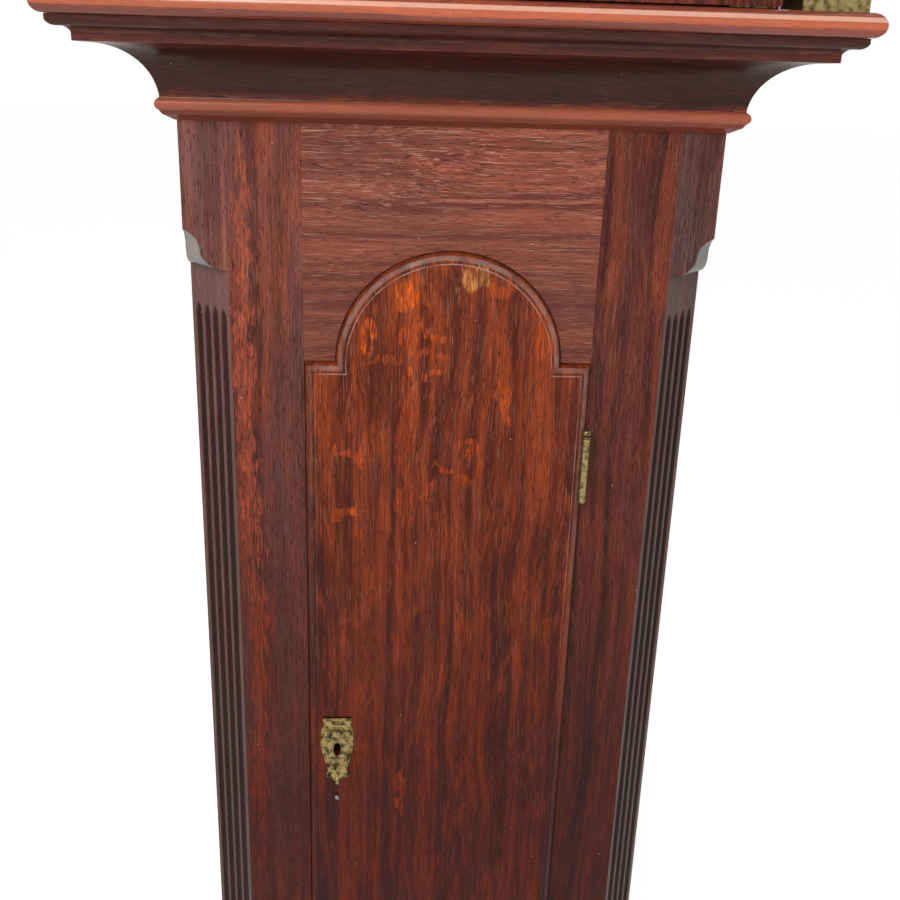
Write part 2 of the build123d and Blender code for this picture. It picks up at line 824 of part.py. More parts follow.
# Hood sides, dial mask, pillars and their brass bases and caps
hood_door_back = hood_door_face + hood_door_thickness
side_front = hood_door_back + hood_side_gap
with BuildPart() as hood_sides:
    for side in (-1, 1):
        edges = sorted((side * hood_inner, side * hood_outer))
        span_board(edges, (side_front, rear), (base_top, hood_top))
mask_front = hood_door_back + mask_gap
mask_back = mask_front + mask_thickness
half_opening = hood_opening / 2
mask_bottom = base_top
mask_outer = hood_inner - joint_gap
with BuildPart() as hood_dial_mask:
    for side in (-1, 1):
        edges = sorted((side * half_opening, side * mask_outer))
        span_board(edges, (mask_front, mask_back), (mask_bottom, hood_top))
    inner = half_opening - joint_gap
    span_board((-inner, inner), (mask_front, mask_back), (mask_bottom, opening_bottom))
    span_board((-inner, inner), (mask_front, mask_back), (opening_bottom + hood_opening, hood_top))
pillar_x = trunk_half + hood_base_reach - pillar_margin - pillar_square / 2
pillar_y = trunk_front - hood_base_reach + pillar_margin + pillar_square / 2
shaft_levels = (base_top + pillar_block + pillar_ring, hood_top - pillar_block - pillar_ring)
with BuildPart() as hood_pillars:
    for side in (-1, 1):
        with BuildSketch(Plane.XY.offset(shaft_levels[0])) as shaft_foot:
            with Locations((side * pillar_x, pillar_y)):
                Circle(pillar_radius)
        with BuildSketch(Plane.XY.offset(shaft_levels[1])) as shaft_head:
            with Locations((side * pillar_x, pillar_y)):
                Circle(pillar_neck_radius)
        loft((shaft_foot.sketch.faces()[0], shaft_head.sketch.faces()[0]))
with BuildPart() as pillar_brasses:
    half_square = pillar_square / 2
    for side in (-1, 1):
        middle = side * pillar_x
        square = (
            (middle - half_square, middle + half_square), (pillar_y - half_square, pillar_y + half_square)
        )
        for foot, way in ((base_top, 1), (hood_top, -1)):
            block = sorted((foot, foot + way * pillar_block))
            span_board(*square, block)
            ring_start = foot + way * pillar_block
            for start, end, radius in pillar_rings:
                ring = sorted((ring_start + way * pillar_ring * start, ring_start + way * pillar_ring * end))
                upright_rod((middle, pillar_y), ring, radius)
pieces["hood_sides"] = hood_sides
pieces["hood_dial_mask"] = hood_dial_mask
pieces["hood_pillars"] = hood_pillars
pieces["pillar_brasses"] = pillar_brasses

# Soffit board over sides and pillars, frieze boards, dust cover and cornice
frieze_half = trunk_half + frieze_front_reach
frieze_front = trunk_front - frieze_front_reach
soffit_top = hood_top + soffit_thickness
frieze_top = soffit_top + frieze_height
with BuildPart() as hood_soffit:
    span_board((-frieze_half, frieze_half), (frieze_front, rear), (hood_top, soffit_top))
    upright_rod(
        (hood_pivot_x, hood_pivot_y),
        (hood_top, hood_top + pivot_length + fit),
        pivot_radius + pivot_hole_play,
        Mode.SUBTRACT,
    )
with BuildPart() as hood_frieze:
    inner = frieze_half - frieze_thickness
    span_board(
        (-frieze_half, frieze_half),
        (frieze_front, frieze_front + frieze_thickness),
        (soffit_top, frieze_top),
    )
    for side in (-1, 1):
        edges = sorted((side * inner, side * frieze_half))
        start = frieze_front + frieze_thickness + joint_gap
        span_board(edges, (start, rear), (soffit_top, frieze_top))
with BuildPart() as hood_top_board:
    span_board((-frieze_half, frieze_half), (frieze_front, rear), (frieze_top, frieze_top + cover_thickness))
cornice_bottom = frieze_top - cornice_height / 3


def cornice_section():
    """Outline of the cornice: a bead, a hollow and a plain top band."""
    lower = cornice_height * 0.16
    hollow_end = cornice_height * 0.7
    Polyline((0, 0), (3, 0), (6, lower * 0.4))
    ThreePointArc((6, lower * 0.4), (8.5, lower * 0.7), (6, lower))
    ThreePointArc((6, lower), (10, hollow_end * 0.72), (cornice_reach - 7, hollow_end))
    Polyline(
        (cornice_reach - 7, hollow_end),
        (cornice_reach - 3, hollow_end),
        (cornice_reach - 3, cornice_height * 0.85),
        (cornice_reach, cornice_height * 0.88),
        (cornice_reach, cornice_height),
        (0, cornice_height),
        (0, 0),
    )


hood_cornice = mitred_moulding(
    cornice_section, frieze_half, frieze_front, cornice_reach, cornice_bottom, rear
)
pieces["hood_soffit"] = hood_soffit
pieces["hood_frieze"] = hood_frieze
pieces["hood_top_board"] = hood_top_board
pieces["hood_cornice"] = hood_cornice

# Hood door: two stiles, two rails, the glass in its rebate, and pivot plates with pins
door_levels = (opening_bottom - hood_rail, opening_bottom + hood_opening + hood_rail)
glass_front = hood_door_face + glass_setback
rebate_half = half_opening + glass_rebate
rebate_levels = (opening_bottom - glass_rebate, opening_bottom + hood_opening + glass_rebate)
with BuildPart() as hood_door_frame:
    for side in (-1, 1):
        edges = sorted((side * half_opening, side * hood_door_half))
        span_board(edges, (hood_door_face, hood_door_back), door_levels)
    inner = half_opening - joint_gap
    span_board((-inner, inner), (hood_door_face, hood_door_back), (door_levels[0], opening_bottom))
    span_board(
        (-inner, inner), (hood_door_face, hood_door_back), (opening_bottom + hood_opening, door_levels[1])
    )
    span_board((-rebate_half, rebate_half), (glass_front, hood_door_back), rebate_levels, Mode.SUBTRACT)
with BuildPart() as hood_door_glass:
    glass_half = rebate_half - fit
    span_board(
        (-glass_half, glass_half),
        (glass_front, glass_front + glass_thickness),
        (rebate_levels[0] + fit, rebate_levels[1] - fit),
    )
with BuildPart() as hood_door_pivots:
    for level, way in ((door_levels[0], -1), (door_levels[1], 1)):
        plate = sorted((level, level + way * pivot_plate))
        span_board(
            (hood_pivot_x - pivot_plate_reach, hood_pivot_x + pivot_plate_end),
            (hood_pivot_y - pivot_plate_half, hood_pivot_y + pivot_plate_half),
            plate,
        )
        pin = sorted((level, level + way * (pivot_length + hood_door_play - fit)))
        upright_rod((hood_pivot_x, hood_pivot_y), pin, pivot_radius)
pieces["hood_door_frame"] = hood_door_frame
pieces["hood_door_glass"] = hood_door_glass
pieces["hood_door_pivots"] = hood_door_pivots

# Seatboard across the cheeks, with slots for the lines and a notch for the pendulum
seat_front = front_plate_front - seat_overhang
line_slot = (line_depth - drum_length / 2 - 2, line_depth + drum_length / 2 + 2)
with BuildPart() as seatboard:
    span_board((-trunk_half, trunk_half), (seat_front, back_front), (seat_bottom, seat_top))
    for side in (-1, 1):
        edges = sorted((side * (line_out - 4), side * (line_out + 4)))
        span_board(edges, line_slot, (seat_bottom, seat_top), Mode.SUBTRACT)
        upright_rod((side * line_in, line_depth), (seat_bottom, seat_top), line_radius + 0.25, Mode.SUBTRACT)
    notch = (rod_depth - rod_notch_front, back_front)
    span_board((-rod_notch_half, rod_notch_half), notch, (seat_bottom, seat_top), Mode.SUBTRACT)
pieces["seatboard"] = seatboard

# Plates of the movement, bored for every pivot, and the pillars between them
train_centres = (going_centre, strike_centre, centre_arbor, third_centre, escape_centre, pin_wheel_centre)
pivot_centres = train_centres + (anchor_centre, hammer_centre)
plate_levels = (seat_top, dial_centre + movement_top)
minute_stud = 0.9
with BuildPart() as front_plate:
    span_board((-movement_half, movement_half), (front_plate_front, front_plate_back), plate_levels)
    for centre in pivot_centres:
        level_rod(
            centre, (front_plate_front, front_plate_back), arbor_pivot + pivot_hole_play, Mode.SUBTRACT
        )
    for centre in (going_centre, strike_centre):
        level_rod(
            centre, (front_plate_front, front_plate_back), winding_arbor + pivot_hole_play, Mode.SUBTRACT
        )
    cannon_hole = arbor_radius + 0.5 + pivot_hole_play
    level_rod(centre_arbor, (front_plate_front, front_plate_back), cannon_hole, Mode.SUBTRACT)
    level_rod(minute_centre, (hour_layer[0] - 3.0, front_plate_back), minute_stud)
with BuildPart() as back_plate:
    span_board((-movement_half, movement_half), (back_plate_front, back_plate_back), plate_levels)
    for centre in pivot_centres:
        level_rod(centre, (back_plate_front, back_plate_back), arbor_pivot + pivot_hole_play, Mode.SUBTRACT)
    level_rod(anchor_centre, (back_plate_front, back_plate_back), arbor_radius + 4, Mode.SUBTRACT)
with BuildPart() as plate_pillars:
    pillar_in = movement_half - corner_pillar_inset
    for x in (-pillar_in, pillar_in):
        for z in (seat_top + corner_pillar_rise, plate_levels[1] - corner_pillar_rise):
            level_rod((x, z), (front_plate_back, back_plate_front), corner_pillar_radius)
pieces["front_plate"] = front_plate
pieces["back_plate"] = back_plate
pieces["plate_pillars"] = plate_pillars

# Back cock: a bridge that carries the anchor's rear pivot, with a shelf for the suspension
cock_front = back_plate_back + cock_gap
cock_back = cock_front + cock_thickness
cock_levels = (anchor_level - cock_rise, anchor_level + cock_rise)
with BuildPart() as back_cock:
    span_board((-cock_half, cock_half), (cock_front, cock_back), cock_levels)
    for side in (-1, 1):
        edges = sorted((side * (cock_half - cock_leg), side * cock_half))
        span_board(edges, (back_plate_back, cock_front), cock_levels)
    shelf = (cock_back, rod_depth + spring_width)
    span_board((-cock_rise, cock_rise), shelf, (anchor_level + 1, cock_levels[1]))
    level_rod(anchor_centre, (cock_front, cock_back), arbor_pivot + pivot_hole_play, Mode.SUBTRACT)
pieces["back_cock"] = back_cock

# Dial plate on four feet, with holes for the arbors, and the chapter ring on its face
with BuildPart() as dial_plate:
    half_dial = dial_size / 2
    levels = (dial_centre - half_dial, dial_centre + half_dial)
    span_board((-half_dial, half_dial), (dial_front, dial_back), levels)
    for x in (-movement_half + dial_foot_inset, movement_half - dial_foot_inset):
        for z in (dial_centre - dial_foot_drop, dial_centre + dial_foot_rise):
            level_rod((x, z), (dial_back, front_plate_front), dial_foot_radius)
    for centre in (going_centre, strike_centre, centre_arbor):
        level_rod(centre, (dial_front, dial_back), winding_hole, Mode.SUBTRACT)
    level_rod(escape_centre, (dial_front, dial_back), arbor_pivot + 0.6, Mode.SUBTRACT)
with BuildPart() as chapter_ring:
    level_rod(centre_arbor, (dial_front - ring_thickness, dial_front), ring_outer)
    level_rod(centre_arbor, (dial_front - ring_thickness, dial_front), ring_inner, Mode.SUBTRACT)
pieces["dial_plate"] = dial_plate
pieces["chapter_ring"] = chapter_ring

# Barrels: drum, front flange, great wheel and winding square on one arbor
square_front = dial_front - 2.0


def barrel(centre, teeth, toward):
    """Build a barrel with its great wheel, one tooth of it pointing along toward."""
    with BuildPart() as drum:
        level_rod(centre, (drum_front, drum_front + drum_length), drum_radius)
        level_rod(centre, (drum_front - drum_flange_width, drum_front), drum_flange)
        toothed_disc(centre, great_layer, teeth, great_module, toward)
        level_rod(centre, (front_plate_front, back_plate_front - end_shake), winding_arbor)
        level_rod(centre, (back_plate_front - end_shake, back_plate_back), arbor_pivot)
        with BuildSketch(Plane.XZ.offset(-front_plate_front)):
            with Locations(centre):
                Rectangle(winding_arbor * 1.4, winding_arbor * 1.4)
        extrude(amount=front_plate_front - square_front)
    return drum


going_barrel = barrel(going_centre, great_teeth, direction(going_centre, centre_arbor))
strike_barrel = barrel(strike_centre, strike_teeth, direction(strike_centre, pin_wheel_centre))
pieces["going_barrel"] = going_barrel
pieces["strike_barrel"] = strike_barrel


# Going train and motion work
def gap_toward(centre, driver, leaves):
    """Angle that puts a gap, not a leaf, on the line from a pinion's centre to its driver's."""
    return direction(centre, driver) + 180 / leaves


great_pinion_layer = (great_layer[0] - 1, great_layer[1] + 1)
cannon_radius = 3.5
hour_pipe_radius = 5.0
hour_hand_back = dial_front - 4.0
minute_hand_back = hour_hand_back - hand_thickness - 3.6
with BuildPart() as centre_wheel:
    level_rod(centre_arbor, (front_plate_back + end_shake, back_plate_front - end_shake), arbor_radius + 0.5)
    level_rod(centre_arbor, (back_plate_front - end_shake, back_plate_back), arbor_pivot)
    level_rod(centre_arbor, (cannon_layer[1], front_plate_back + end_shake), arbor_radius + 0.5)
    toward = gap_toward(centre_arbor, going_centre, centre_pinion_leaves)
    toothed_disc(centre_arbor, great_pinion_layer, centre_pinion_leaves, great_module, toward)
    toothed_disc(
        centre_arbor, centre_layer, centre_teeth, centre_module, direction(centre_arbor, third_centre), 5
    )
    toothed_disc(
        centre_arbor, cannon_layer, cannon_teeth, cannon_module, direction(centre_arbor, minute_centre), 5
    )
    level_rod(centre_arbor, (minute_hand_back - hand_thickness - 0.6, cannon_layer[1]), cannon_radius)
with BuildPart() as third_wheel:
    arbor(third_centre)
    layer = (centre_layer[0] - 1, centre_layer[1] + 1)
    toward = gap_toward(third_centre, centre_arbor, third_pinion_leaves)
    toothed_disc(third_centre, layer, third_pinion_leaves, centre_module, toward)
    toothed_disc(
        third_centre, third_layer, third_teeth, third_module, direction(third_centre, escape_centre), 4
    )
with BuildPart() as minute_wheel:
    toward = gap_toward(minute_centre, centre_arbor, cannon_teeth)
    toothed_disc(minute_centre, cannon_layer, cannon_teeth, cannon_module, toward, 4)
    layer = (hour_layer[0] - 1, cannon_layer[0])
    toothed_disc(
        minute_centre, layer, minute_pinion_leaves, hour_module, direction(minute_centre, centre_arbor)
    )
    level_rod(minute_centre, (layer[0], cannon_layer[1]), minute_stud + pivot_hole_play, Mode.SUBTRACT)
with BuildPart() as hour_wheel:
    toward = gap_toward(centre_arbor, minute_centre, hour_teeth)
    toothed_disc(centre_arbor, hour_layer, hour_teeth, hour_module, toward, 8)
    level_rod(centre_arbor, (hour_hand_back - hand_thickness - 0.4, hour_layer[1]), hour_pipe_radius)
    pipe_bore = (hour_hand_back - hand_thickness - 1, hour_layer[1])
    level_rod(centre_arbor, pipe_bore, cannon_radius + pivot_hole_play, Mode.SUBTRACT)
pieces["centre_wheel"] = centre_wheel
pieces["third_wheel"] = third_wheel
pieces["minute_wheel"] = minute_wheel
pieces["hour_wheel"] = hour_wheel

# Escape wheel with pointed teeth; the pallets at rest stand a quarter step from its tips
pallet_angle = 45.0
escape_step = 360 / escape_teeth
first_tooth = 90 + pallet_angle + escape_step / 4
with BuildPart() as escape_wheel:
    arbor(escape_centre)
    level_rod(escape_centre, (dial_front - 2.2, front_plate_front), arbor_pivot)
    layer = (third_layer[0] - 1, third_layer[1] + 1)
    toward = gap_toward(escape_centre, third_centre, escape_pinion_leaves)
    toothed_disc(escape_centre, layer, escape_pinion_leaves, third_module, toward)
    outline = []
    for tooth in range(escape_teeth):
        middle = first_tooth + escape_step * tooth
        for share, radius in (
            (-0.35, escape_root), (-0.08, escape_radius), (0.08, escape_radius), (0.2, escape_root)
        ):
            outline.append(around(escape_centre, radius, middle + share * escape_step))
    with BuildSketch(Plane.XZ.offset(-escape_layer[1])):
        Polygon(*outline, align=None)
        with Locations(escape_centre):
            Circle(escape_root - 2, mode=Mode.SUBTRACT)
            Circle(4)
            Rectangle(2 * escape_root - 3, 2.4, rotation=0)
            Rectangle(2 * escape_root - 3, 2.4, rotation=90)
    extrude(amount=escape_layer[1] - escape_layer[0])
pieces["escape_wheel"] = escape_wheel

# Anchor with two pallets, its arbor, and the crutch behind the back plate
crutch_layer = (back_plate_back + 3.0, back_plate_back + 5.0)
crutch_drop = 108.0
fork_level = anchor_level - crutch_drop
with BuildPart() as anchor:
    level_rod(anchor_centre, (front_plate_back + end_shake, cock_front - end_shake), arbor_radius)
    level_rod(anchor_centre, (front_plate_front, cock_back), arbor_pivot)
    with BuildSketch(Plane.XZ.offset(-escape_layer[1])):
        with Locations(anchor_centre):
            Circle(4)
        for side in (-1, 1):
            angle = 90 - side * pallet_angle
            tip = around(escape_centre, escape_radius + pallet_clearance, angle)
            root_point = around(escape_centre, escape_radius + pallet_clearance + 5, angle)
            slope = math.radians(angle + 90)
            across = (math.cos(slope), math.sin(slope))
            Polygon(
                (tip[0] - 0.4 * across[0], tip[1] - 0.4 * across[1]),
                (tip[0] + 0.4 * across[0], tip[1] + 0.4 * across[1]),
                (root_point[0] + 1.8 * across[0], root_point[1] + 1.8 * across[1]),
                (root_point[0] - 1.8 * across[0], root_point[1] - 1.8 * across[1]),
                align=None,
            )
            Polygon(
                (root_point[0] + 1.8 * across[0], root_point[1] + 1.8 * across[1]),
                (root_point[0] - 1.8 * across[0], root_point[1] - 1.8 * across[1]),
                (side * 12.0, anchor_level + 1.5),
                (0, anchor_level + 4.0),
                (0, anchor_level - 2.5),
                align=None,
            )
    extrude(amount=escape_layer[1] - escape_layer[0])
    span_board((-1.5, 1.5), crutch_layer, (fork_level - 2, anchor_level))
    fork_gap = grip_half + fit
    span_board((-fork_gap - 2, fork_gap + 2), crutch_layer, (fork_level - 2, fork_level + 2))
    for side in (-1, 1):
        edges = sorted((side * fork_gap, side * (fork_gap + 2)))
        span_board(edges, (crutch_layer[0], rod_depth + 4), (fork_level - 2, fork_level + 2))
pieces["anchor"] = anchor

# Pendulum: suspension spring, grip block, rod, bob and rating nut
with BuildPart() as pendulum_rod:
    half_spring = spring_thickness / 2
    spring_levels = (anchor_level - spring_length, anchor_level + 0.7)
    span_board(
        (-half_spring, half_spring),
        (rod_depth - spring_width / 2, rod_depth + spring_width / 2),
        spring_levels,
    )
    rod_bottom = bob_level - bob_radius - rod_tail
    upright_rod((0, rod_depth), (rod_bottom, spring_levels[0] + 2), rod_radius)
    grip_levels = (fork_level - grip_rise, fork_level + grip_rise)
    span_board((-grip_half, grip_half), (rod_depth - grip_half, rod_depth + grip_half), grip_levels)
with BuildPart() as pendulum_bob:
    with BuildSketch(Plane.XY.offset(bob_level)):
        with BuildLine():
            front_middle = (0, rod_depth - bob_thickness / 2)
            back_middle = (0, rod_depth + bob_thickness / 2)
            front_edge = (bob_radius, rod_depth - bob_edge / 2)
            back_edge = (bob_radius, rod_depth + bob_edge / 2)
            Line(front_middle, back_middle)
            TangentArc(front_middle, front_edge, tangent=(1, 0))
            TangentArc(back_middle, back_edge, tangent=(1, 0))
            Line(front_edge, back_edge)
        make_face()
    revolve(axis=Axis((0, 0, bob_level), (0, 1, 0)))
    nut_top = bob_level - bob_radius - fit
    upright_rod((0, rod_depth), (nut_top - nut_height, nut_top), nut_radius)
    hole = (nut_top - nut_height - 1, bob_level + bob_radius + 1)
    upright_rod((0, rod_depth), hole, rod_radius + pivot_hole_play, Mode.SUBTRACT)
pieces["pendulum_rod"] = pendulum_rod
pieces["pendulum_bob"] = pendulum_bob


# Hands: a boss, a tapered blade and a leaf near the tip
def hand(turned, back, length, boss, bore, leaf):
    """Build a hand that points turned degrees clockwise from twelve."""
    with BuildPart() as pointer:
        with BuildSketch(Plane.XZ.offset(-back)):
            with Locations(Location((0, dial_centre, 0), (0, 0, -turned))):
                Circle(boss)
                Polygon(
                    (-boss * 0.35, 0),
                    (boss * 0.35, 0),
                    (1.2, length - 4),
                    (0, length),
                    (-1.2, length - 4),
                    align=None,
                )
            with Locations(Location((0, dial_centre, 0), (0, 0, -turned))):
                Polygon(
                    (0, length * 0.55),
                    (leaf, length * 0.68),
                    (0, length * 0.86),
                    (-leaf, length * 0.68),
                    align=None,
                )
            with Locations((0, dial_centre)):
                Circle(bore, mode=Mode.SUBTRACT)
        extrude(amount=hand_thickness)
    return pointer


minute_angle = 6.0 * minute_shown
hour_angle = 30.0 * hour_shown + minute_shown / 2
hand_fit = 0.03
minute_hand = hand(minute_angle, minute_hand_back, minute_hand_length, 8.0, cannon_radius + hand_fit, 4.5)
hour_hand = hand(hour_angle, hour_hand_back, hour_hand_length, 10.0, hour_pipe_radius + hand_fit, 11.0)
with BuildPart() as seconds_hand:
    with BuildSketch(Plane.XZ.offset(-(dial_front - 1.1))):
        with Locations(escape_centre):
            Circle(3)
            Polygon(
                (-0.9, -8), (0.9, -8), (0.3, seconds_hand_length), (-0.3, seconds_hand_length), align=None
            )
            Circle(arbor_pivot + hand_fit, mode=Mode.SUBTRACT)
    extrude(amount=0.8)
pieces["minute_hand"] = minute_hand
pieces["hour_hand"] = hour_hand
pieces["seconds_hand"] = seconds_hand

# Striking work: the pin wheel, the hammer with its tail, and the bell on its standard
with BuildPart() as pin_wheel:
    arbor(pin_wheel_centre)
    pin_rim = pin_wheel_teeth * pin_wheel_module / 2 - pin_circle + pin_radius + 0.6
    toothed_disc(pin_wheel_centre, pin_layer, pin_wheel_teeth, pin_wheel_module, 0, 4, pin_rim)
    toward = gap_toward(pin_wheel_centre, strike_centre, centre_pinion_leaves)
    toothed_disc(pin_wheel_centre, great_pinion_layer, centre_pinion_leaves, great_module, toward)
    for pin_number in range(pin_count):
        spot = around(pin_wheel_centre, pin_circle, 360 / pin_count * pin_number)
        level_rod(spot, (pin_layer[0] - 6, pin_layer[0] + 1), pin_radius)
bell_depth = (front_plate_back + back_plate_front) / 2
bell_rim = dial_centre + bell_rise
tail_length = math.dist(hammer_centre, pin_wheel_centre) - pin_circle - pin_radius - 0.4
with BuildPart() as hammer:
    arbor(hammer_centre, 2.0)
    head_level = hammer_centre[1] + hammer_rise
    span_board(
        (-hammer_out - 2, -hammer_out + 2), (bell_depth - 2, bell_depth + 2), (hammer_centre[1], head_level)
    )
    with BuildSketch(Plane.YZ.offset(-hammer_out - 8)):
        with Locations((bell_depth, head_level)):
            Circle(hammer_head_radius)
    extrude(amount=hammer_out + 8 - bell_radius - bell_gap)
    tail_angle = direction(hammer_centre, pin_wheel_centre)
    with BuildSketch(Plane.XZ.offset(-(pin_layer[0] - 1))):
        with Locations(Location((hammer_centre[0], hammer_centre[1], 0), (0, 0, tail_angle))):
            Circle(4)
            Polygon((0, -2), (tail_length, -1.2), (tail_length, 1.2), (0, 2), align=None)
    extrude(amount=4)
with BuildPart() as bell:
    with BuildSketch(Plane.XZ.offset(-bell_depth)):
        with BuildLine():
            crown = bell_rim + bell_height
            shoulder_point = (bell_radius * 0.72, bell_rim + bell_height * 0.74)
            Polyline((2.2, crown - bell_wall), (2.2, crown))
            ThreePointArc((2.2, crown), shoulder_point, (bell_radius, bell_rim))
            Line((bell_radius, bell_rim), (bell_radius - bell_wall, bell_rim))
            inner_shoulder = (shoulder_point[0] - bell_wall * 0.7, shoulder_point[1] - bell_wall * 0.7)
            ThreePointArc((bell_radius - bell_wall, bell_rim), inner_shoulder, (2.2, crown - bell_wall))
        make_face()
    revolve(axis=Axis((0, bell_depth, 0), (0, 0, 1)))
    collar = crown - bell_wall - bell_seat
    standard_top = bell_rim - 5.0
    arm = (standard_top - 3.0, standard_top)
    standard_depth = (back_plate_back, back_plate_back + 3.0)
    span_board((26, 34), standard_depth, (anchor_level - 13, standard_top))
    span_board((-5, 34), standard_depth, arm)
    span_board((-5, 5), (bell_depth - 5, standard_depth[1]), arm)
    upright_rod((0, bell_depth), (arm[0], crown + 4), 2.0)
    upright_rod((0, bell_depth), (collar - 3, collar), 5.0)
    upright_rod((0, bell_depth), (crown + bell_seat, crown + 4), 4.0)
pieces["pin_wheel"] = pin_wheel
pieces["hammer"] = hammer
pieces["bell"] = bell

# Weights with hooks, stirrups and pulleys, and the lines that carry them
for side, name in ((1, "going"), (-1, "strike")):
    middle = side * pulley_out
    weight_top = weight_rest + weight_height
    with BuildPart() as weight:
        upright_rod((middle, line_depth), (weight_rest, weight_top), weight_radius)
        fillet(weight.edges().filter_by(GeomType.CIRCLE), radius=3)
        stirrup_low = weight_top + hook_rise
        upright_rod((middle, line_depth), (weight_top - 1, stirrup_low), hook_radius)
        cheek = pulley_width / 2 + 1
        span_board(
            (middle - stirrup_half, middle + stirrup_half),
            (line_depth - cheek - stirrup_wall, line_depth + cheek + stirrup_wall),
            (stirrup_low, stirrup_low + stirrup_bridge),
        )
        for start in (line_depth - cheek - stirrup_wall, line_depth + cheek):
            span_board(
                (middle - stirrup_half, middle + stirrup_half),
                (start, start + stirrup_wall),
                (stirrup_low, pulley_level + stirrup_half),
            )
        axle_end = cheek + stirrup_wall + 1
        level_rod((middle, pulley_level), (line_depth - axle_end, line_depth + axle_end), axle_radius)
    with BuildPart() as pulley:
        with BuildSketch(Plane.XY.offset(pulley_level)):
            half_wheel = pulley_width / 2
            groove_radius = pulley_radius - line_radius - pivot_hole_play
            bore = axle_radius + pivot_hole_play
            with BuildLine():
                Polyline(
                    (middle + bore, line_depth - half_wheel),
                    (middle + pulley_rim, line_depth - half_wheel),
                    (middle + groove_radius, line_depth - line_radius),
                    (middle + groove_radius, line_depth + line_radius),
                    (middle + pulley_rim, line_depth + half_wheel),
                    (middle + bore, line_depth + half_wheel),
                    (middle + bore, line_depth - half_wheel),
                )
            make_face()
        revolve(axis=Axis((middle, 0, pulley_level), (0, 1, 0)))
    with BuildPart() as hung_weight:
        add(weight.part)
        add(pulley.part)
    with BuildPart() as hung_line:
        with BuildLine(Plane.XZ.offset(-line_depth)):
            Line((side * line_out, dial_centre - barrel_drop), (side * line_out, pulley_level))
            low_point = (middle, pulley_level - pulley_radius)
            ThreePointArc((side * line_out, pulley_level), low_point, (side * line_in, pulley_level))
            Line((side * line_in, pulley_level), (side * line_in, seat_top))
        start_plane = Plane(
            origin=(side * line_out, line_depth, dial_centre - barrel_drop), z_dir=(0, 0, -1)
        )
        with BuildSketch(start_plane):
            Circle(line_radius)
        sweep()
    pieces[f"{name}_weight"] = hung_weight
    pieces[f"{name}_line"] = hung_line

for name, piece in pieces.items():
    piece.part.label = name
    export_step(piece.part, f"parts/{name}.step")
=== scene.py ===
"""Dress the longcase clock: finishes for every part, the fine pieces, the light and the camera.

Lengths are in millimetres in the same frame as the clock: X to the right, the front towards -Y, Z up
from the floor. Meshes are scaled to metres as the last step of their making.
"""
import json
import logging
import math
from collections.abc import Iterable, Sequence
from dataclasses import dataclass, field, replace
from enum import Enum

import bmesh
import bpy
from mathutils import Matrix, Vector


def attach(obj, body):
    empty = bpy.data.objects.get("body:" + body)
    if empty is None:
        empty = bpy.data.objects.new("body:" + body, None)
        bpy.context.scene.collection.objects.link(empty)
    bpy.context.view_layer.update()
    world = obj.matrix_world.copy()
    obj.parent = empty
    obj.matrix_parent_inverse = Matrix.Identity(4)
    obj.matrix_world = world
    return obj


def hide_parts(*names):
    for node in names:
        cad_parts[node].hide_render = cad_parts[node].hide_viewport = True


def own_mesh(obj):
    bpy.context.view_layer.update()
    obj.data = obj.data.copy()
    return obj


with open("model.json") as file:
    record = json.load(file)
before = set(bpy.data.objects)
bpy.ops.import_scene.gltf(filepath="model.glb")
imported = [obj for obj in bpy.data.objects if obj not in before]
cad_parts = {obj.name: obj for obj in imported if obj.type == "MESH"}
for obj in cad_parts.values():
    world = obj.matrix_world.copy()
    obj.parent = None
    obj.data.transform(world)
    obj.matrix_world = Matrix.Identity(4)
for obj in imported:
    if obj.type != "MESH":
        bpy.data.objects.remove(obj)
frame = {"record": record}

logging.basicConfig(level=logging.INFO, format="%(message)s")
log = logging.getLogger("clock")

MM = 0.001
# The trunk and its door: half width, depth of the front, and the door's outline
TRUNK_HALF = 175.0
TRUNK_FRONT = -48.0
POST_WIDTH = 28.2
DOOR_FACE = -55.5
DOOR_HALF = 97.6
SHOULDER = 1263.0
ARCH = 76.6
# Heights between which the carved stops stand, and between which painted shade darkens the wood towards the
# bottom
STOP = (1324.0, 1351.5)
PAINTED_SHADE_HEIGHTS = (900.0, 1340.0)
# The dial
DIAL_CENTRE = 1692.0
DIAL_FACE = -61.0
RING_FACE = -62.5
WINDING = (42.5, 1679.9)
# The gut lines, down from the drum and up to the knot on the seatboard
LINE_DEPTH = 8.0
LINE_OUT = 70.25
LINE_IN = 30.25
PULLEY_LEVEL = 405.0
SEAT = (1599.0, 1617.0)

Point = tuple[float, float]
Spot = tuple[float, float, float]
Colour = tuple[float, float, float, float]
Mesh = bmesh.types.BMesh
Vert = bmesh.types.BMVert
Tree = bpy.types.NodeTree
Socket = bpy.types.NodeSocket
Material = bpy.types.Material


def linear(code: str) -> Colour:
    """Turn an sRGB hex colour into linear light.

    Args:
        code: the colour as "#rrggbb".

    Returns:
        Red, green, blue and an alpha of one.
    """
    parts = [int(code[i : i + 2], 16) / 255 for i in (1, 3, 5)]
    red, green, blue = (p / 12.92 if p <= 0.04045 else ((p + 0.055) / 1.055) ** 2.4 for p in parts)
    return (red, green, blue, 1.0)


def add(
    tree: Tree, kind: str, inputs: dict | None = None, out: int | str = 0, **settings: object
) -> Socket | None:
    """Add a shader node with its settings and links.

    Args:
        tree: the node tree that takes the node.
        kind: the node's type, without its prefix.
        inputs: for each input, by name or number, a value or the socket that feeds it.
        out: the output that the caller goes on with.
        settings: attributes to set on the node.

    Returns:
        The chosen output, or nothing for a node that ends the tree.
    """
    node = tree.nodes.new("ShaderNode" + kind)
    for key, value in settings.items():
        setattr(node, key, value)
    for key, value in (inputs or {}).items():
        if isinstance(value, Socket):
            tree.links.new(value, node.inputs[key])
        else:
            node.inputs[key].default_value = value
    return node.outputs[out] if node.outputs else None


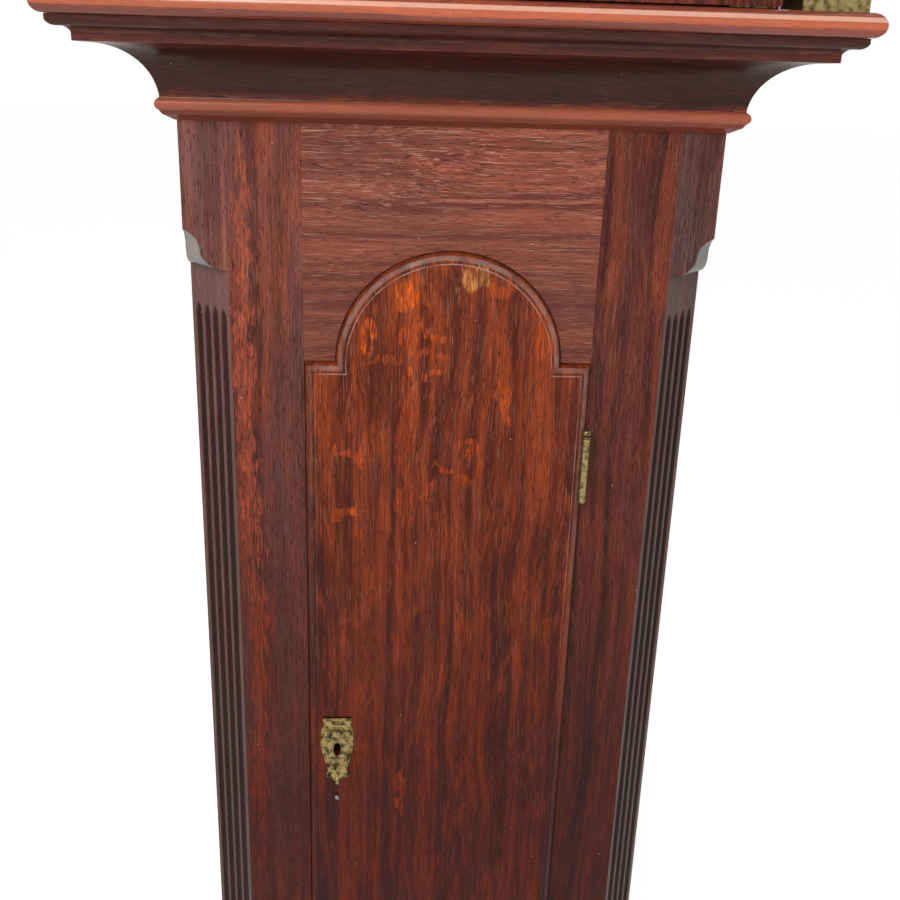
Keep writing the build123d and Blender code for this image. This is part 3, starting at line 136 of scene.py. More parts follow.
class Grain(Enum):
    """Which way the fibres of a board run."""

    UPRIGHT = "z"
    LEVEL = "x"
    MITRED = "round the case"


@dataclass(frozen=True)
class Pattern:
    """A noise of a real size that shades a finish.

    It holds the noise's grain in millimetres along each coordinate, the noise's values where its share
    starts and ends, the share at both, a salt that moves it, its finer octaves and how far it is folded.
    """

    size: Spot
    low: float
    high: float
    start: float = 0.0
    end: float = 1.0
    salt: float = 0.0
    detail: float = 2.0
    bend: float = 0.0


@dataclass(frozen=True)
class Fleck:
    """A bright figure of the wood: its middle, half sizes, turn in degrees, colour and strength."""

    x: float
    z: float
    wide: float
    tall: float
    turn: float = 0.0
    colour: str = "#a4451a"
    strength: float = 0.8


@dataclass(frozen=True)
class Band:
    """A level band of another tone, on the mouldings a painted highlight or shade: its two heights, colour
    and strength.
    """

    low: float
    high: float
    colour: str
    strength: float


# Slow lean of the fibres, as grown wood has
LEAN = Pattern((60, 60, 210), 0.0, 1.0, -7.0, 7.0, 3, 1.0)
# Year rings cut lengthwise, some millimetres wide and nearly as long as the board
YEARS = Pattern((8, 8, 420), 0.36, 0.64)
# Clouds where the stain took unevenly
CLOUDS = Pattern((30, 30, 170), 0.44, 0.64, salt=17)
# Zones of the silver grain that quartered oak shows, and the short flecks in them
FLECK_ZONES = Pattern((16, 16, 60), 0.47, 0.62, salt=31, bend=0.5)
FLECK_DASHES = Pattern((2.2, 2.2, 19), 0.46, 0.56, 0.25, salt=23)
# Dark late wood in thin streaks
STREAKS = Pattern((1.3, 1.3, 48), 0.62, 0.36, salt=11, detail=3.0)
# Pale threads where the varnish has worn off the fibres
THREADS = Pattern((0.75, 0.75, 26), 0.57, 0.66, salt=37)
# Open pores, drawn about twice as wide as real ones so that they show
PORES = Pattern((0.7, 0.7, 7.5), 0.585, 0.66, salt=5, detail=1.0)
# Ripple of the varnish over the fibres, and its uneven polish
RIPPLE = Pattern((1.5, 1.5, 22), 0.3, 0.7, 0.0, 0.8, 71, 3.0)
POLISH = Pattern((34, 34, 60), 0.35, 0.72, 0.3, 0.5, 61, 3.0)
# Ragged ends, broken insides and the sway of the bright figures
RAGGED = Pattern((1.1, 1.1, 13), 0.36, 0.64, 0.0, 0.95, 50, 3.0)
BROKEN = Pattern((0.9, 0.9, 9), 0.4, 0.56, 0.3, 1.0, 57)
SWAY = Pattern((9, 9, 17), 0.3, 0.7, -3.2, 3.2, 53, 1.0)
# Patches of the painted grey reflection on the door's rounded edge
EDGE_SHEEN_PATCHES = Pattern((16, 16, 16), 0.32, 0.62, 0.35, 1.0, 5)
# Waves of old window glass
WAVES = Pattern((60, 60, 90), 0.0, 1.0, salt=4, detail=1.0)
# Specks of dust in sealing wax
WAX_SPECKS = Pattern((1.2, 1.2, 1.2), 0.3, 0.7, salt=9)


@dataclass(frozen=True)
class Finish:
    """What every finish has: a name for its material and the slot that it belongs to."""

    name: str
    slot: str

    def start(self) -> tuple[Material, Tree, Socket]:
        """Make an empty material.

        Returns:
            The material, its node tree, and the object coordinates in millimetres.
        """
        material = bpy.data.materials.new(self.name)
        material.use_nodes = True
        tree = material.node_tree
        tree.nodes.clear()
        place = add(tree, "TexCoord", out="Object")
        return material, tree, add(tree, "VectorMath", {0: place, 3: 1 / MM}, operation="SCALE")

    def pattern(
        self, tree: Tree, place: Socket, kind: Pattern, shift: float = 0.0, **changes: float | Spot
    ) -> Socket:
        """Spread a pattern over the piece.

        Args:
            tree: the node tree that takes it.
            place: coordinates in millimetres.
            kind: the pattern.
            shift: moves the pattern, so that no two boards look alike.
            changes: what is other than in the pattern.

        Returns:
            The share.
        """
        kind = replace(kind, **changes)
        salt = shift + kind.salt
        moved = add(tree, "Mapping", {
            "Vector": place, "Location": (salt, salt * 0.7, salt * 1.3), "Scale": [1 / s for s in kind.size],
        })
        value = add(tree, "TexNoise", {
            "Vector": moved, "Scale": 1.0, "Detail": kind.detail, "Roughness": 0.55, "Distortion": kind.bend,
        })
        ends = {1: kind.low, 2: kind.high, 3: kind.start, 4: kind.end}
        return add(tree, "MapRange", {0: value, **ends}, interpolation_type="SMOOTHSTEP")

    def layer(self, tree: Tree, below: Socket | Colour, share: Socket | float, code: str) -> Socket:
        """Lay a plain colour over what is there by a share."""
        return add(tree, "Mix", {0: share, 6: below, 7: linear(code)}, out=2, data_type="RGBA")

    def between(
        self, tree: Tree, value: Socket, low: float, high: float, soft: float, most: float
    ) -> Socket:
        """Give a share that rises after one value and falls before another.

        Args:
            tree: the node tree that takes it.
            value: what is measured.
            low: where the share starts to rise.
            high: where it is gone again.
            soft: how long the rise and the fall are.
            most: the share in the middle.

        Returns:
            The share.
        """
        rise = add(tree, "MapRange", {0: value, 1: low, 2: low + soft})
        fall = add(tree, "MapRange", {0: value, 1: high, 2: high - soft, 4: most})
        return add(tree, "Math", {0: rise, 1: fall}, operation="MULTIPLY")


@dataclass(frozen=True)
class StainedOak(Finish):
    """Oak stained red-brown under old varnish: dark pores, bright flecks and worn pale threads."""

    grain: Grain = Grain.UPRIGHT
    base: str = "#7e3828"
    dark: str = "#431d16"
    warm: str = "#a8522c"
    pale: str = "#a87464"
    cloud: str = "#57302a"
    flecks: float = 0.3
    threads: float = 0.3
    thread: Point = (0.75, 26.0)
    streaks: float = 0.5
    clouding: float = 0.45
    shift: float = 0.0
    half: float = TRUNK_HALF
    front: float = TRUNK_FRONT
    gloss: float = 0.08
    figures: tuple[Fleck, ...] = ()
    bands: tuple[Band, ...] = ()
    canted: bool = False
    sheened_edge: bool = False

    def fibres(self, tree: Tree, place: Socket) -> Socket:
        """Turn the coordinates so that the third one runs along the fibres, bent as grown wood is."""
        parts = add(tree, "SeparateXYZ", {0: place}).node.outputs
        order = {"z": (0, 1, 2), "x": (1, 2, 0), "y": (0, 2, 1)}
        if self.grain is Grain.MITRED:
            level, depth = (
                add(tree, "CombineXYZ", {i: parts[k] for i, k in enumerate(order[way])}) for way in "xy"
            )
            out = add(tree, "Math", {0: parts[0]}, operation="ABSOLUTE")
            beside = add(tree, "Math", {0: out, 1: self.half}, operation="SUBTRACT")
            ahead = add(tree, "Math", {0: self.front, 1: parts[1]}, operation="SUBTRACT")
            side = add(tree, "Math", {0: beside, 1: ahead}, operation="GREATER_THAN")
            turned = add(tree, "Mix", {0: side, 4: level, 5: depth}, out=1, data_type="VECTOR")
        else:
            way = order[self.grain.value]
            turned = add(tree, "CombineXYZ", {i: parts[k] for i, k in enumerate(way)})
        lean = self.pattern(tree, turned, LEAN, self.shift)
        offset = add(tree, "CombineXYZ", {0: lean, 1: lean})
        return add(tree, "VectorMath", {0: turned, 1: offset})

    def figured(self, tree: Tree, place: Socket, along: Socket, colour: Socket) -> Socket:
        """Lay the bright figures of the wood, bounded by its fibres, over the ground colour."""
        ragged = self.pattern(tree, along, RAGGED, self.shift)
        broken = self.pattern(tree, along, BROKEN, self.shift)
        sway = self.pattern(tree, along, SWAY, self.shift)
        swayed = add(tree, "VectorMath", {0: place, 1: add(tree, "CombineXYZ", {0: sway, 2: sway})})
        for fleck in self.figures:
            local = add(tree, "Mapping", {
                "Vector": swayed, "Location": (fleck.x, 0, fleck.z),
                "Rotation": (0, math.radians(fleck.turn), 0), "Scale": (fleck.wide, 9000, fleck.tall),
            }, vector_type="TEXTURE")
            square = add(tree, "VectorMath", {0: local, 1: local}, operation="MULTIPLY")
            far = add(tree, "VectorMath", {0: square, 1: square}, out=1, operation="DOT_PRODUCT")
            reach = add(tree, "Math", {0: far, 1: ragged})
            share = add(tree, "MapRange", {0: reach, 1: 1.25, 2: 0.5, 3: 0.0, 4: fleck.strength},
                        interpolation_type="SMOOTHSTEP")
            shown = add(tree, "Math", {0: share, 1: broken}, operation="MULTIPLY")
            colour = self.layer(tree, colour, shown, fleck.colour)
        return colour

    def ground(self, tree: Tree, place: Socket, along: Socket) -> tuple[Socket, Socket]:
        """Draw the wood's own figure.

        Returns:
            The colour, and the height of its relief.
        """
        shift = self.shift
        year = self.pattern(tree, along, YEARS, shift)
        colour = self.layer(tree, linear(self.dark), year, self.base)
        clouds = self.pattern(tree, along, CLOUDS, shift, end=self.clouding)
        colour = self.layer(tree, colour, clouds, self.cloud)
        zone = self.pattern(tree, along, FLECK_ZONES, shift, end=self.flecks)
        dash = self.pattern(tree, along, FLECK_DASHES, shift)
        silver = add(tree, "Math", {0: zone, 1: dash}, operation="MULTIPLY")
        colour = self.layer(tree, colour, silver, self.warm)
        colour = self.figured(tree, place, along, colour)
        streaks = self.pattern(tree, along, STREAKS, shift, end=self.streaks)
        colour = self.layer(tree, colour, streaks, self.dark)
        fine, long = self.thread
        thread = self.pattern(tree, along, THREADS, shift, size=(fine, fine, long), end=self.threads)
        colour = self.layer(tree, colour, thread, self.pale)
        pore = self.pattern(tree, along, PORES, shift)
        filled = add(tree, "Math", {0: pore, 1: 0.62}, operation="MULTIPLY")
        colour = self.layer(tree, colour, filled, "#200d0a")
        ripple = self.pattern(tree, along, RIPPLE, shift)
        return colour, add(tree, "Math", {0: ripple, 1: pore}, operation="SUBTRACT")

    def fluted(self, tree: Tree, parts: Sequence[Socket], colour: Socket) -> Socket:
        """Darken a canted post in its flutes with painted shade, rub its ridges pale, and lay a painted grey
        sheen on the carved stop above them.
        """
        out = add(tree, "Math", {0: parts[0]}, operation="ABSOLUTE")
        both = add(tree, "Math", {0: out, 1: parts[1]}, operation="SUBTRACT")
        plane = TRUNK_HALF - TRUNK_FRONT - POST_WIDTH
        depth = add(tree, "Math", {0: both, 1: plane}, operation="SUBTRACT")
        # Painted shade in the hollow of each flute
        groove_shade = add(tree, "MapRange", {0: depth, 1: -0.1, 2: -1.8, 4: 0.85},
                     interpolation_type="SMOOTHSTEP")
        colour = self.layer(tree, colour, groove_shade, "#150908")
        # Hands have rubbed the ridges pale
        ridge = add(tree, "MapRange", {0: depth, 1: -1.2, 2: -0.05, 4: 0.6})
        below = add(tree, "MapRange", {0: depth, 1: 1.0, 2: 0.3})
        rubbed = add(tree, "Math", {0: ridge, 1: below}, operation="MULTIPLY")
        colour = self.layer(tree, colour, rubbed, "#5f4a46")
        # Painted sheen: the carved stop is greyed, standing for the pale gloss it shows
        beside = add(tree, "Math", {0: TRUNK_HALF, 1: out}, operation="SUBTRACT")
        behind = add(tree, "Math", {0: parts[1], 1: TRUNK_FRONT}, operation="SUBTRACT")
        carved = add(tree, "Math", {0: beside, 1: behind}, operation="MINIMUM")
        cut = add(tree, "MapRange", {0: carved, 1: 0.2, 2: 0.9})
        level = self.between(tree, parts[2], STOP[0], STOP[1] + 2, 2, 0.75)
        stop_sheen = add(tree, "Math", {0: level, 1: cut}, operation="MULTIPLY")
        return self.layer(tree, colour, stop_sheen, "#8d8f89")

    def painted_edge_sheen(self, tree: Tree, place: Socket, parts: Sequence[Socket], colour: Socket) -> Socket:
        """Paint a grey reflection on the door's rounded edge, and a painted highlight line inside it."""
        out = add(tree, "Math", {0: parts[0]}, operation="ABSOLUTE")
        lift = add(tree, "Math", {0: parts[2], 1: SHOULDER}, operation="SUBTRACT")
        beside = add(tree, "Math", {0: DOOR_HALF, 1: out}, operation="SUBTRACT")
        below = add(tree, "Math", {0: lift, 1: -1.0}, operation="MULTIPLY")
        square = add(tree, "Math", {0: beside, 1: below}, operation="MINIMUM")
        spot = add(tree, "CombineXYZ", {0: parts[0], 2: lift})
        radius = add(tree, "VectorMath", {0: spot}, out="Value", operation="LENGTH")
        rounded = add(tree, "Math", {0: ARCH, 1: radius}, operation="SUBTRACT")
        inside = add(tree, "Math", {0: square, 1: rounded}, operation="MAXIMUM")
        # The painted reflection is strongest round the arch and faint beside the keyhole
        high = add(tree, "MapRange", {0: parts[2], 1: 980.0, 2: 1300.0, 3: 0.12})
        right = add(tree, "MapRange", {0: parts[0], 1: -94.0, 2: -80.0, 3: 0.35})
        for part in (right, self.pattern(tree, place, EDGE_SHEEN_PATCHES)):
            high = add(tree, "Math", {0: high, 1: part}, operation="MULTIPLY")
        # Painted grey reflection on the rounded edge, then a painted highlight on the small step inside it
        for low, end, code, most in ((1.2, 4.6, "#8f736a", 0.62), (6.3, 7.1, "#c0a096", 0.75)):
            line = self.between(tree, inside, low, end, 0.3, most)
            shown = add(tree, "Math", {0: line, 1: high}, operation="MULTIPLY")
            colour = self.layer(tree, colour, shown, code)
        return colour

    def toned(self, tree: Tree, place: Socket, colour: Socket) -> Socket:
        """Darken the wood towards the bottom with painted shade, then tone it by its mouldings, flutes and
        edge, where much of the tone is painted highlight and shade.
        """
        parts = add(tree, "SeparateXYZ", {0: place}).node.outputs
        # Painted shade: the wood darkens towards the bottom, standing for light that falls off downwards
        painted_shade = add(tree, "MapRange", {0: parts[2], 1: PAINTED_SHADE_HEIGHTS[1], 2: PAINTED_SHADE_HEIGHTS[0]})
        colour = add(tree, "Mix", {0: painted_shade, 6: colour, 7: linear("#a9826f")}, out=2, data_type="RGBA",
                     blend_type="MULTIPLY")
        for band in self.bands:
            soft = 0.14 * (band.high - band.low)
            share = self.between(tree, parts[2], band.low, band.high, soft, band.strength)
            colour = self.layer(tree, colour, share, band.colour)
        if self.canted:
            colour = self.fluted(tree, parts, colour)
        return self.painted_edge_sheen(tree, place, parts, colour) if self.sheened_edge else colour

    def build(self) -> Material:
        """Make the material."""
        material, tree, place = self.start()
        along = self.fibres(tree, place)
        colour, height = self.ground(tree, place, along)
        colour = self.toned(tree, place, colour)
        # Pale specks where the varnish has chipped, some 19 mm apart
        speck = add(tree, "TexVoronoi", {"Vector": place, "Scale": 1 / 19.0}, out="Distance")
        dot = add(tree, "MapRange", {0: speck, 1: 0.03, 2: 0.018, 4: 0.6})
        colour = self.layer(tree, colour, dot, "#c9ab98")
        rough = self.pattern(tree, place, POLISH, self.shift)
        bump = add(tree, "Bump", {"Height": height, "Distance": 0.16 * MM, "Strength": 0.6})
        shader = add(tree, "BsdfPrincipled", {
            "Base Color": colour, "Roughness": rough, "Normal": bump, "Specular IOR Level": 0.08,
            "Coat Weight": self.gloss, "Coat Roughness": 0.17, "Coat IOR": 1.5,
        })
        add(tree, "OutputMaterial", {"Surface": shader})
        return material


@dataclass(frozen=True)
class Metal(Finish):
    """A metal: its colour with patina in clouds, fine tool marks and a soft uneven polish."""

    base: str = "#c8a050"
    patina: str = "#5a4a22"
    stained: float = 0.35
    roughness: float = 0.3
    cloud: float = 6.0
    brushed: Spot = (1.0, 1.0, 1.0)
    relief: float = 0.03
    pitted: float = 0.0

    def build(self) -> Material:
        """Make the material."""
        material, tree, place = self.start()
        stains = Pattern((self.cloud,) * 3, 0.4, 0.66, 0.0, self.stained, 2, 4.0)
        polish = replace(stains, low=0.3, high=0.7, start=self.roughness, end=self.roughness + 0.16)
        marks = Pattern(self.brushed, 0.0, 1.0, salt=7)
        line = self.pattern(tree, place, marks)
        colour = self.layer(tree, linear(self.base), self.pattern(tree, place, stains), self.patina)
        worn = self.pattern(tree, place, polish)
        rough = add(tree, "Math", {0: line, 1: 0.06, 2: worn}, operation="MULTIPLY_ADD")
        height = line
        if self.pitted:
            # Small pits of a punch or of casting sand
            pit = add(tree, "TexVoronoi", {"Vector": place, "Scale": 1 / self.pitted}, out="Distance")
            height = add(tree, "Math", {0: pit, 1: 1.5, 2: line}, operation="MULTIPLY_ADD")
        bump = add(tree, "Bump", {"Height": height, "Distance": self.relief * MM, "Strength": 0.6})
        shader = add(tree, "BsdfPrincipled", {
            "Base Color": colour, "Metallic": 1.0, "Roughness": rough, "Normal": bump,
        })
        add(tree, "OutputMaterial", {"Surface": shader})
        return material


@dataclass(frozen=True)
class CrownGlass(Finish):
    """Old hand-made window glass: clear, faintly green and slightly uneven."""

    tint: str = "#eef6f1"

    def build(self) -> Material:
        """Make the material."""
        material, tree, place = self.start()
        wave = self.pattern(tree, place, WAVES)
        bump = add(tree, "Bump", {"Height": wave, "Distance": 0.3 * MM, "Strength": 0.15})
        tint = linear(self.tint)
        shader = add(tree, "BsdfPrincipled", {
            "Base Color": tint, "Roughness": 0.0, "IOR": 1.5, "Transmission Weight": 1.0, "Normal": bump,
        })
        # Light falls through the pane onto the dial
        shadow = add(tree, "LightPath", out="Is Shadow Ray")
        clear = add(tree, "BsdfTransparent", {"Color": tint})
        both = add(tree, "MixShader", {0: shadow, 1: shader, 2: clear})
        add(tree, "OutputMaterial", {"Surface": both})
        return material


@dataclass(frozen=True)
class TwistedGut(Finish):
    """Gut line: translucent amber strands twisted together."""

    hollow: str = "#6f4f26"
    crest: str = "#c49a5a"
    twist: float = 3.4

    def build(self) -> Material:
        """Make the material."""
        material, tree, place = self.start()
        parts = add(tree, "SeparateXYZ", {0: place}).node.outputs
        slope = add(tree, "Math", {0: parts[0], 1: 1.2, 2: parts[2]}, operation="MULTIPLY_ADD")
        turn = add(tree, "Math", {0: slope, 1: self.twist}, operation="MULTIPLY")
        strand = add(tree, "Math", {0: turn}, operation="SINE")
        # Painted shade between the twisted strands and painted highlight on their crests
        lit = add(tree, "MapRange", {0: strand, 1: -1.0, 2: 1.0})
        colour = self.layer(tree, linear(self.hollow), lit, self.crest)
        bump = add(tree, "Bump", {"Height": strand, "Distance": 0.1 * MM, "Strength": 0.7})
        shader = add(tree, "BsdfPrincipled", {
            "Base Color": colour, "Roughness": 0.45, "Normal": bump, "Subsurface Weight": 0.1,
            "Subsurface Radius": (0.002, 0.001, 0.0005),
        })
        add(tree, "OutputMaterial", {"Surface": shader})
        return material


@dataclass(frozen=True)
class BlackWax(Finish):
    """Black sealing wax in engraved figures: deep black with a slight shine."""

    base: str = "#0c0b0b"
    speck: str = "#231f1d"

    def build(self) -> Material:
        """Make the material."""
        material, tree, place = self.start()
        specks = self.pattern(tree, place, WAX_SPECKS)
        colour = self.layer(tree, linear(self.base), specks, self.speck)
        shader = add(tree, "BsdfPrincipled", {"Base Color": colour, "Roughness": 0.38})
        add(tree, "OutputMaterial", {"Surface": shader})
        return material


DOOR_FIGURES = (
    Fleck(-30, 1313, 5.2, 13.5, colour="#eb671b", strength=0.95),
    Fleck(-56.5, 1280, 4.6, 14, colour="#de5e1d", strength=0.85),
    Fleck(14, 1322, 12.5, 8, colour="#d08e4e", strength=0.85),
    Fleck(33, 1317, 10, 5, 12, "#c9561d", 0.7),
    Fleck(-28, 1280, 9, 17, colour="#c75119", strength=0.7),
    Fleck(-12, 1286, 18, 3.2, 6, "#c9581f", 0.75),
    Fleck(-10, 1272, 15, 3.4, colour="#b84f1c", strength=0.7),
    Fleck(-44, 1265, 15, 3.2, 4, "#b84f1c", 0.6),
    Fleck(-27, 1258, 3, 4.2, colour="#de5e1d", strength=0.9),
    Fleck(-12, 1257, 6.5, 3.2, colour="#d3581c", strength=0.8),
    Fleck(-28, 1195, 6, 62, colour="#bb4b19", strength=0.75),
    Fleck(-29, 1080, 5, 60, colour="#aa4417", strength=0.55),
    Fleck(39, 1238, 4.6, 19, -14, "#c9541b", 0.8),
    Fleck(14, 1206, 3, 12, -34, "#c9541b", 0.75),
    Fleck(24, 1192, 4, 10, 10, "#b14c1c", 0.6),
    Fleck(4, 1183, 20, 2.8, 24, "#c2521d", 0.75),
    Fleck(-12, 1170, 3.4, 8, 25, "#c2521d", 0.7),
    Fleck(-73, 1200, 13, 3, 22, "#d0581d", 0.8),
    Fleck(-60, 1196, 3.2, 12, colour="#d35b1d", strength=0.8),
    Fleck(-70, 1153, 14, 3.6, -14, "#d35b1d", 0.8),
    Fleck(-60, 1143, 3, 9, -14, "#c9541b", 0.7),
    Fleck(66, 1283, 7, 15, -6, "#c2501b", 0.7),
    Fleck(70, 1195, 3, 18, 6, "#aa4417", 0.5),
    Fleck(-27.6, 912, 2.6, 26, colour="#d35b1d", strength=0.8),
    Fleck(-82, 1010, 3, 42, colour="#a54317", strength=0.5),
    Fleck(20, 1010, 12, 60, colour="#943913", strength=0.45),
    Fleck(56, 905, 10, 1.6, -32, "#2a110d", 0.95),
    Fleck(-3, 1236, 4.6, 7, colour="#4a201a", strength=0.6),
)

STILE_FIGURES = (
    Fleck(-137, 1340, 5.5, 80, 1.5, "#ab5438", 0.85),
    Fleck(-137, 1200, 7.5, 120, -1.5, "#b0533a", 0.9),
    Fleck(-135, 980, 7, 140, 1, "#a8492c", 0.85),
    Fleck(-137, 740, 7, 150, -1, "#963f28", 0.7),
    Fleck(-110, 1310, 4.5, 50, 1, "#96472f", 0.65),
    Fleck(-104, 1120, 4, 120, colour="#8a3d2a", strength=0.5),
)

# Inside boards that never had stain or varnish
BARE_BOARD = {"grain": Grain.LEVEL, "base": "#8a6844", "dark": "#5a4028", "warm": "#a88a60", "gloss": 0.0}

OAK_BOARDS: dict[str, dict] = {
    "backboard": {"base": "#5a3424", "dark": "#2e1a12", "flecks": 0.1, "gloss": 0.0},
    "trunk_sides": {},
    "plinth_front": {"flecks": 0.6},
    "plinth_sides": {},
    "hood_sides": {},
    "hood_frieze": {"grain": Grain.MITRED, "half": 228.0, "front": -101.0},
    "hood_top_board": {"grain": Grain.LEVEL, "base": "#5a3424", "dark": "#2e1a12", "gloss": 0.0},
    "hood_soffit": {"grain": Grain.LEVEL},
    "corner_post_left": {
        "canted": True, "base": "#92594c", "dark": "#5c352f", "cloud": "#6d5450",
        "flecks": 0.0, "threads": 0.2, "clouding": 0.7,
    },
    "corner_post_right": {
        "canted": True, "base": "#70423a", "dark": "#452926", "cloud": "#523f3c",
        "flecks": 0.0, "threads": 0.2, "clouding": 0.7,
    },
    "trunk_stile_left": {
        "base": "#884334", "dark": "#4f271f", "cloud": "#66413c",
        "flecks": 0.25, "threads": 0.2, "clouding": 0.75, "figures": STILE_FIGURES,
    },
    "trunk_stile_right": {
        "base": "#783829", "dark": "#3f1d18", "flecks": 0.2, "threads": 0.2, "clouding": 0.6,
    },
    "trunk_top_rail": {
        "grain": Grain.LEVEL, "base": "#a25844", "dark": "#63312a", "cloud": "#74463d", "pale": "#c58f7d",
        "warm": "#b5603f", "thread": (0.55, 42.0), "threads": 0.6, "flecks": 0.2,
        "bands": (Band(1240, 1375, "#5a322b", 0.45),),
    },
    "trunk_bottom_rail": {"grain": Grain.LEVEL, "thread": (0.55, 42.0), "threads": 0.4},
    "hood_dial_mask": {},
    "hood_door_frame": {},
    "hood_pillars": {"base": "#6e3426"},
    "trunk_door": {
        "base": "#93401f", "dark": "#4d1c10", "warm": "#bb541f", "cloud": "#5f2b1e",
        "flecks": 0.42, "figures": DOOR_FIGURES, "sheened_edge": True,
    },
    "throat_moulding": {
        "grain": Grain.MITRED, "base": "#6e3022", "gloss": 0.2,
        # Painted highlight on the lower bead, painted shade with some dirt in the hollow, and painted shade
        # on the fillet and the curve above it
        "bands": (Band(1419, 1427, "#8a3f2c", 0.5), Band(1426, 1434.5, "#b8654a", 0.6),
                  Band(1434.5, 1468, "#1d0b08", 0.75), Band(1466, 1473, "#3f211b", 0.5),
                  Band(1473, 1483, "#34150f", 0.65)),
    },
    "waist_moulding": {
        "grain": Grain.MITRED, "base": "#8a4230", "gloss": 0.2,
        # Painted highlight along its top, and painted shade with some dirt in the hollow below it
        "bands": (Band(498, 513, "#a8503a", 0.5), Band(466, 498, "#27110e", 0.5)),
    },
    "hood_base_moulding": {
        "grain": Grain.MITRED, "base": "#a84c30", "dark": "#6b2a1a", "gloss": 0.7,
        # Painted shade on the lower part of the round, a warm middle, and a painted highlight line near its
        # top
        "bands": (Band(1482, 1487.5, "#7a3322", 0.6), Band(1487.5, 1492, "#cc6a42", 0.5),
                  Band(1491.5, 1494.5, "#eeb59d", 0.6)),
    },
    "hood_cornice": {"grain": Grain.MITRED, "half": 228.0, "front": -101.0, "gloss": 0.4},
    "plinth_skirting": {"grain": Grain.MITRED, "half": 225.0, "front": -98.0},
    "bottom_board": BARE_BOARD,
    "seatboard": BARE_BOARD,
}

# Brass never cleaned: green-brown film in the hollows, a soft yellow where fingers rub it
CASE_BRASS = Metal(
    "aged_case_brass", "case_brass", "#9d8a5c", "#3a3220", stained=0.8, roughness=0.3, cloud=4.0,
)
# The keyhole plate, darker and more stained than the hinges
PLATE_BRASS = Metal(
    "darkened_keyhole_brass", "case_brass", "#8f7c50", "#2a2214", stained=0.95, roughness=0.3, cloud=5.0,
)
# Plates and wheels rubbed down with a water stone, which leaves short straight marks
MOVEMENT_BRASS = Metal(
    "stoned_clock_brass", "movement_brass", "#cfab5e", "#8a6a34", stained=0.4, roughness=0.3, cloud=24.0,
    brushed=(3.0, 3.0, 0.3),
)
# Dial brass matted with a punch, so its middle takes no reflection
DIAL_BRASS = Metal(
    "matted_dial_brass", "dial_brass", "#c9a255", "#8b6a30", stained=0.4, roughness=0.42, cloud=30.0,
    pitted=1.1, relief=0.2,
)
# Cast and lacquered corner ornaments, brighter on top than in the hollows
CAST_BRASS = Metal(
    "cast_lacquered_brass", "dial_brass", "#d8b468", "#7d5f2a", stained=0.5, roughness=0.26, cloud=5.0,
)
# Brass under a film of silver, slightly warm and dull
SILVERED = Metal(
    "silvered_brass", "silvered_brass", "#c6c2b6", "#a39a82", stained=0.5, roughness=0.38, cloud=28.0,
    brushed=(0.5, 0.5, 0.5),
)
# Steel coloured by heat: deep blue with a violet tinge
BLUED_STEEL = Metal(
    "blued_steel", "blued_steel", "#20263c", "#3a2a3a", stained=0.5, roughness=0.22, cloud=8.0,
)
# Steel smoothed with a file and left to darken
FILED_STEEL = Metal(
    "filed_steel", "forged_steel", "#8d8b88", "#4a4038", stained=0.5, roughness=0.35, cloud=9.0,
    brushed=(0.4, 3.0, 3.0),
)
# High-tin bronze turned on the outside in fine rings
BELL_METAL = Metal(
    "turned_bell_metal", "bell_metal", "#c9b27c", "#7d6a40", stained=0.4, roughness=0.28, cloud=14.0,
    brushed=(4.0, 4.0, 0.25),
)
# Iron cast in sand and blackened: grainy, nearly without shine
CAST_IRON = Metal(
    "blackened_cast_iron", "weight_iron", "#34312f", "#1c1a19", stained=0.6, roughness=0.55, cloud=10.0,
    pitted=1.6, relief=0.25,
)
# The bob's brass shell, polished more often than the rest
BOB_BRASS = Metal(
    "polished_bob_brass", "bob_brass", "#cfa957", "#94723a", stained=0.3, roughness=0.2, cloud=22.0,
)
GLASS = CrownGlass("crown_glass", "clock_glass")
GUT = TwistedGut("twisted_gut", "gut")
WAX = BlackWax("black_wax", "silvered_brass")
METAL_NODES: dict[Finish, tuple[str, ...]] = {
    CASE_BRASS: (
        "hinge_case_leaves", "hinge_door_leaves", "hinge_pins", "escutcheon", "pillar_brasses",
        "hood_door_pivots",
    ),
    MOVEMENT_BRASS: (
        "front_plate", "back_plate", "plate_pillars", "back_cock", "going_barrel", "strike_barrel",
        "centre_wheel", "third_wheel", "escape_wheel", "minute_wheel", "hour_wheel", "pin_wheel",
    ),
    DIAL_BRASS: ("dial_plate",),
    SILVERED: ("chapter_ring",),
    BLUED_STEEL: ("hour_hand", "minute_hand", "seconds_hand"),
    FILED_STEEL: ("anchor", "hammer", "pendulum_rod", "door_lock", "lock_bolt"),
    BELL_METAL: ("bell",),
    CAST_IRON: ("going_weight", "strike_weight"),
    BOB_BRASS: ("pendulum_bob",),
    GLASS: ("hood_door_glass",),
    GUT: ("going_line", "strike_line"),
}


class Shop:
    """Makes each finish once and hands out its material."""

    made: dict[str, Material] = {}

    @classmethod
    def material(cls, finish: Finish) -> Material:
        """Give the material of a finish, made at its first use."""
        if finish.name not in cls.made:
            cls.made[finish.name] = finish.build()
        return cls.made[finish.name]


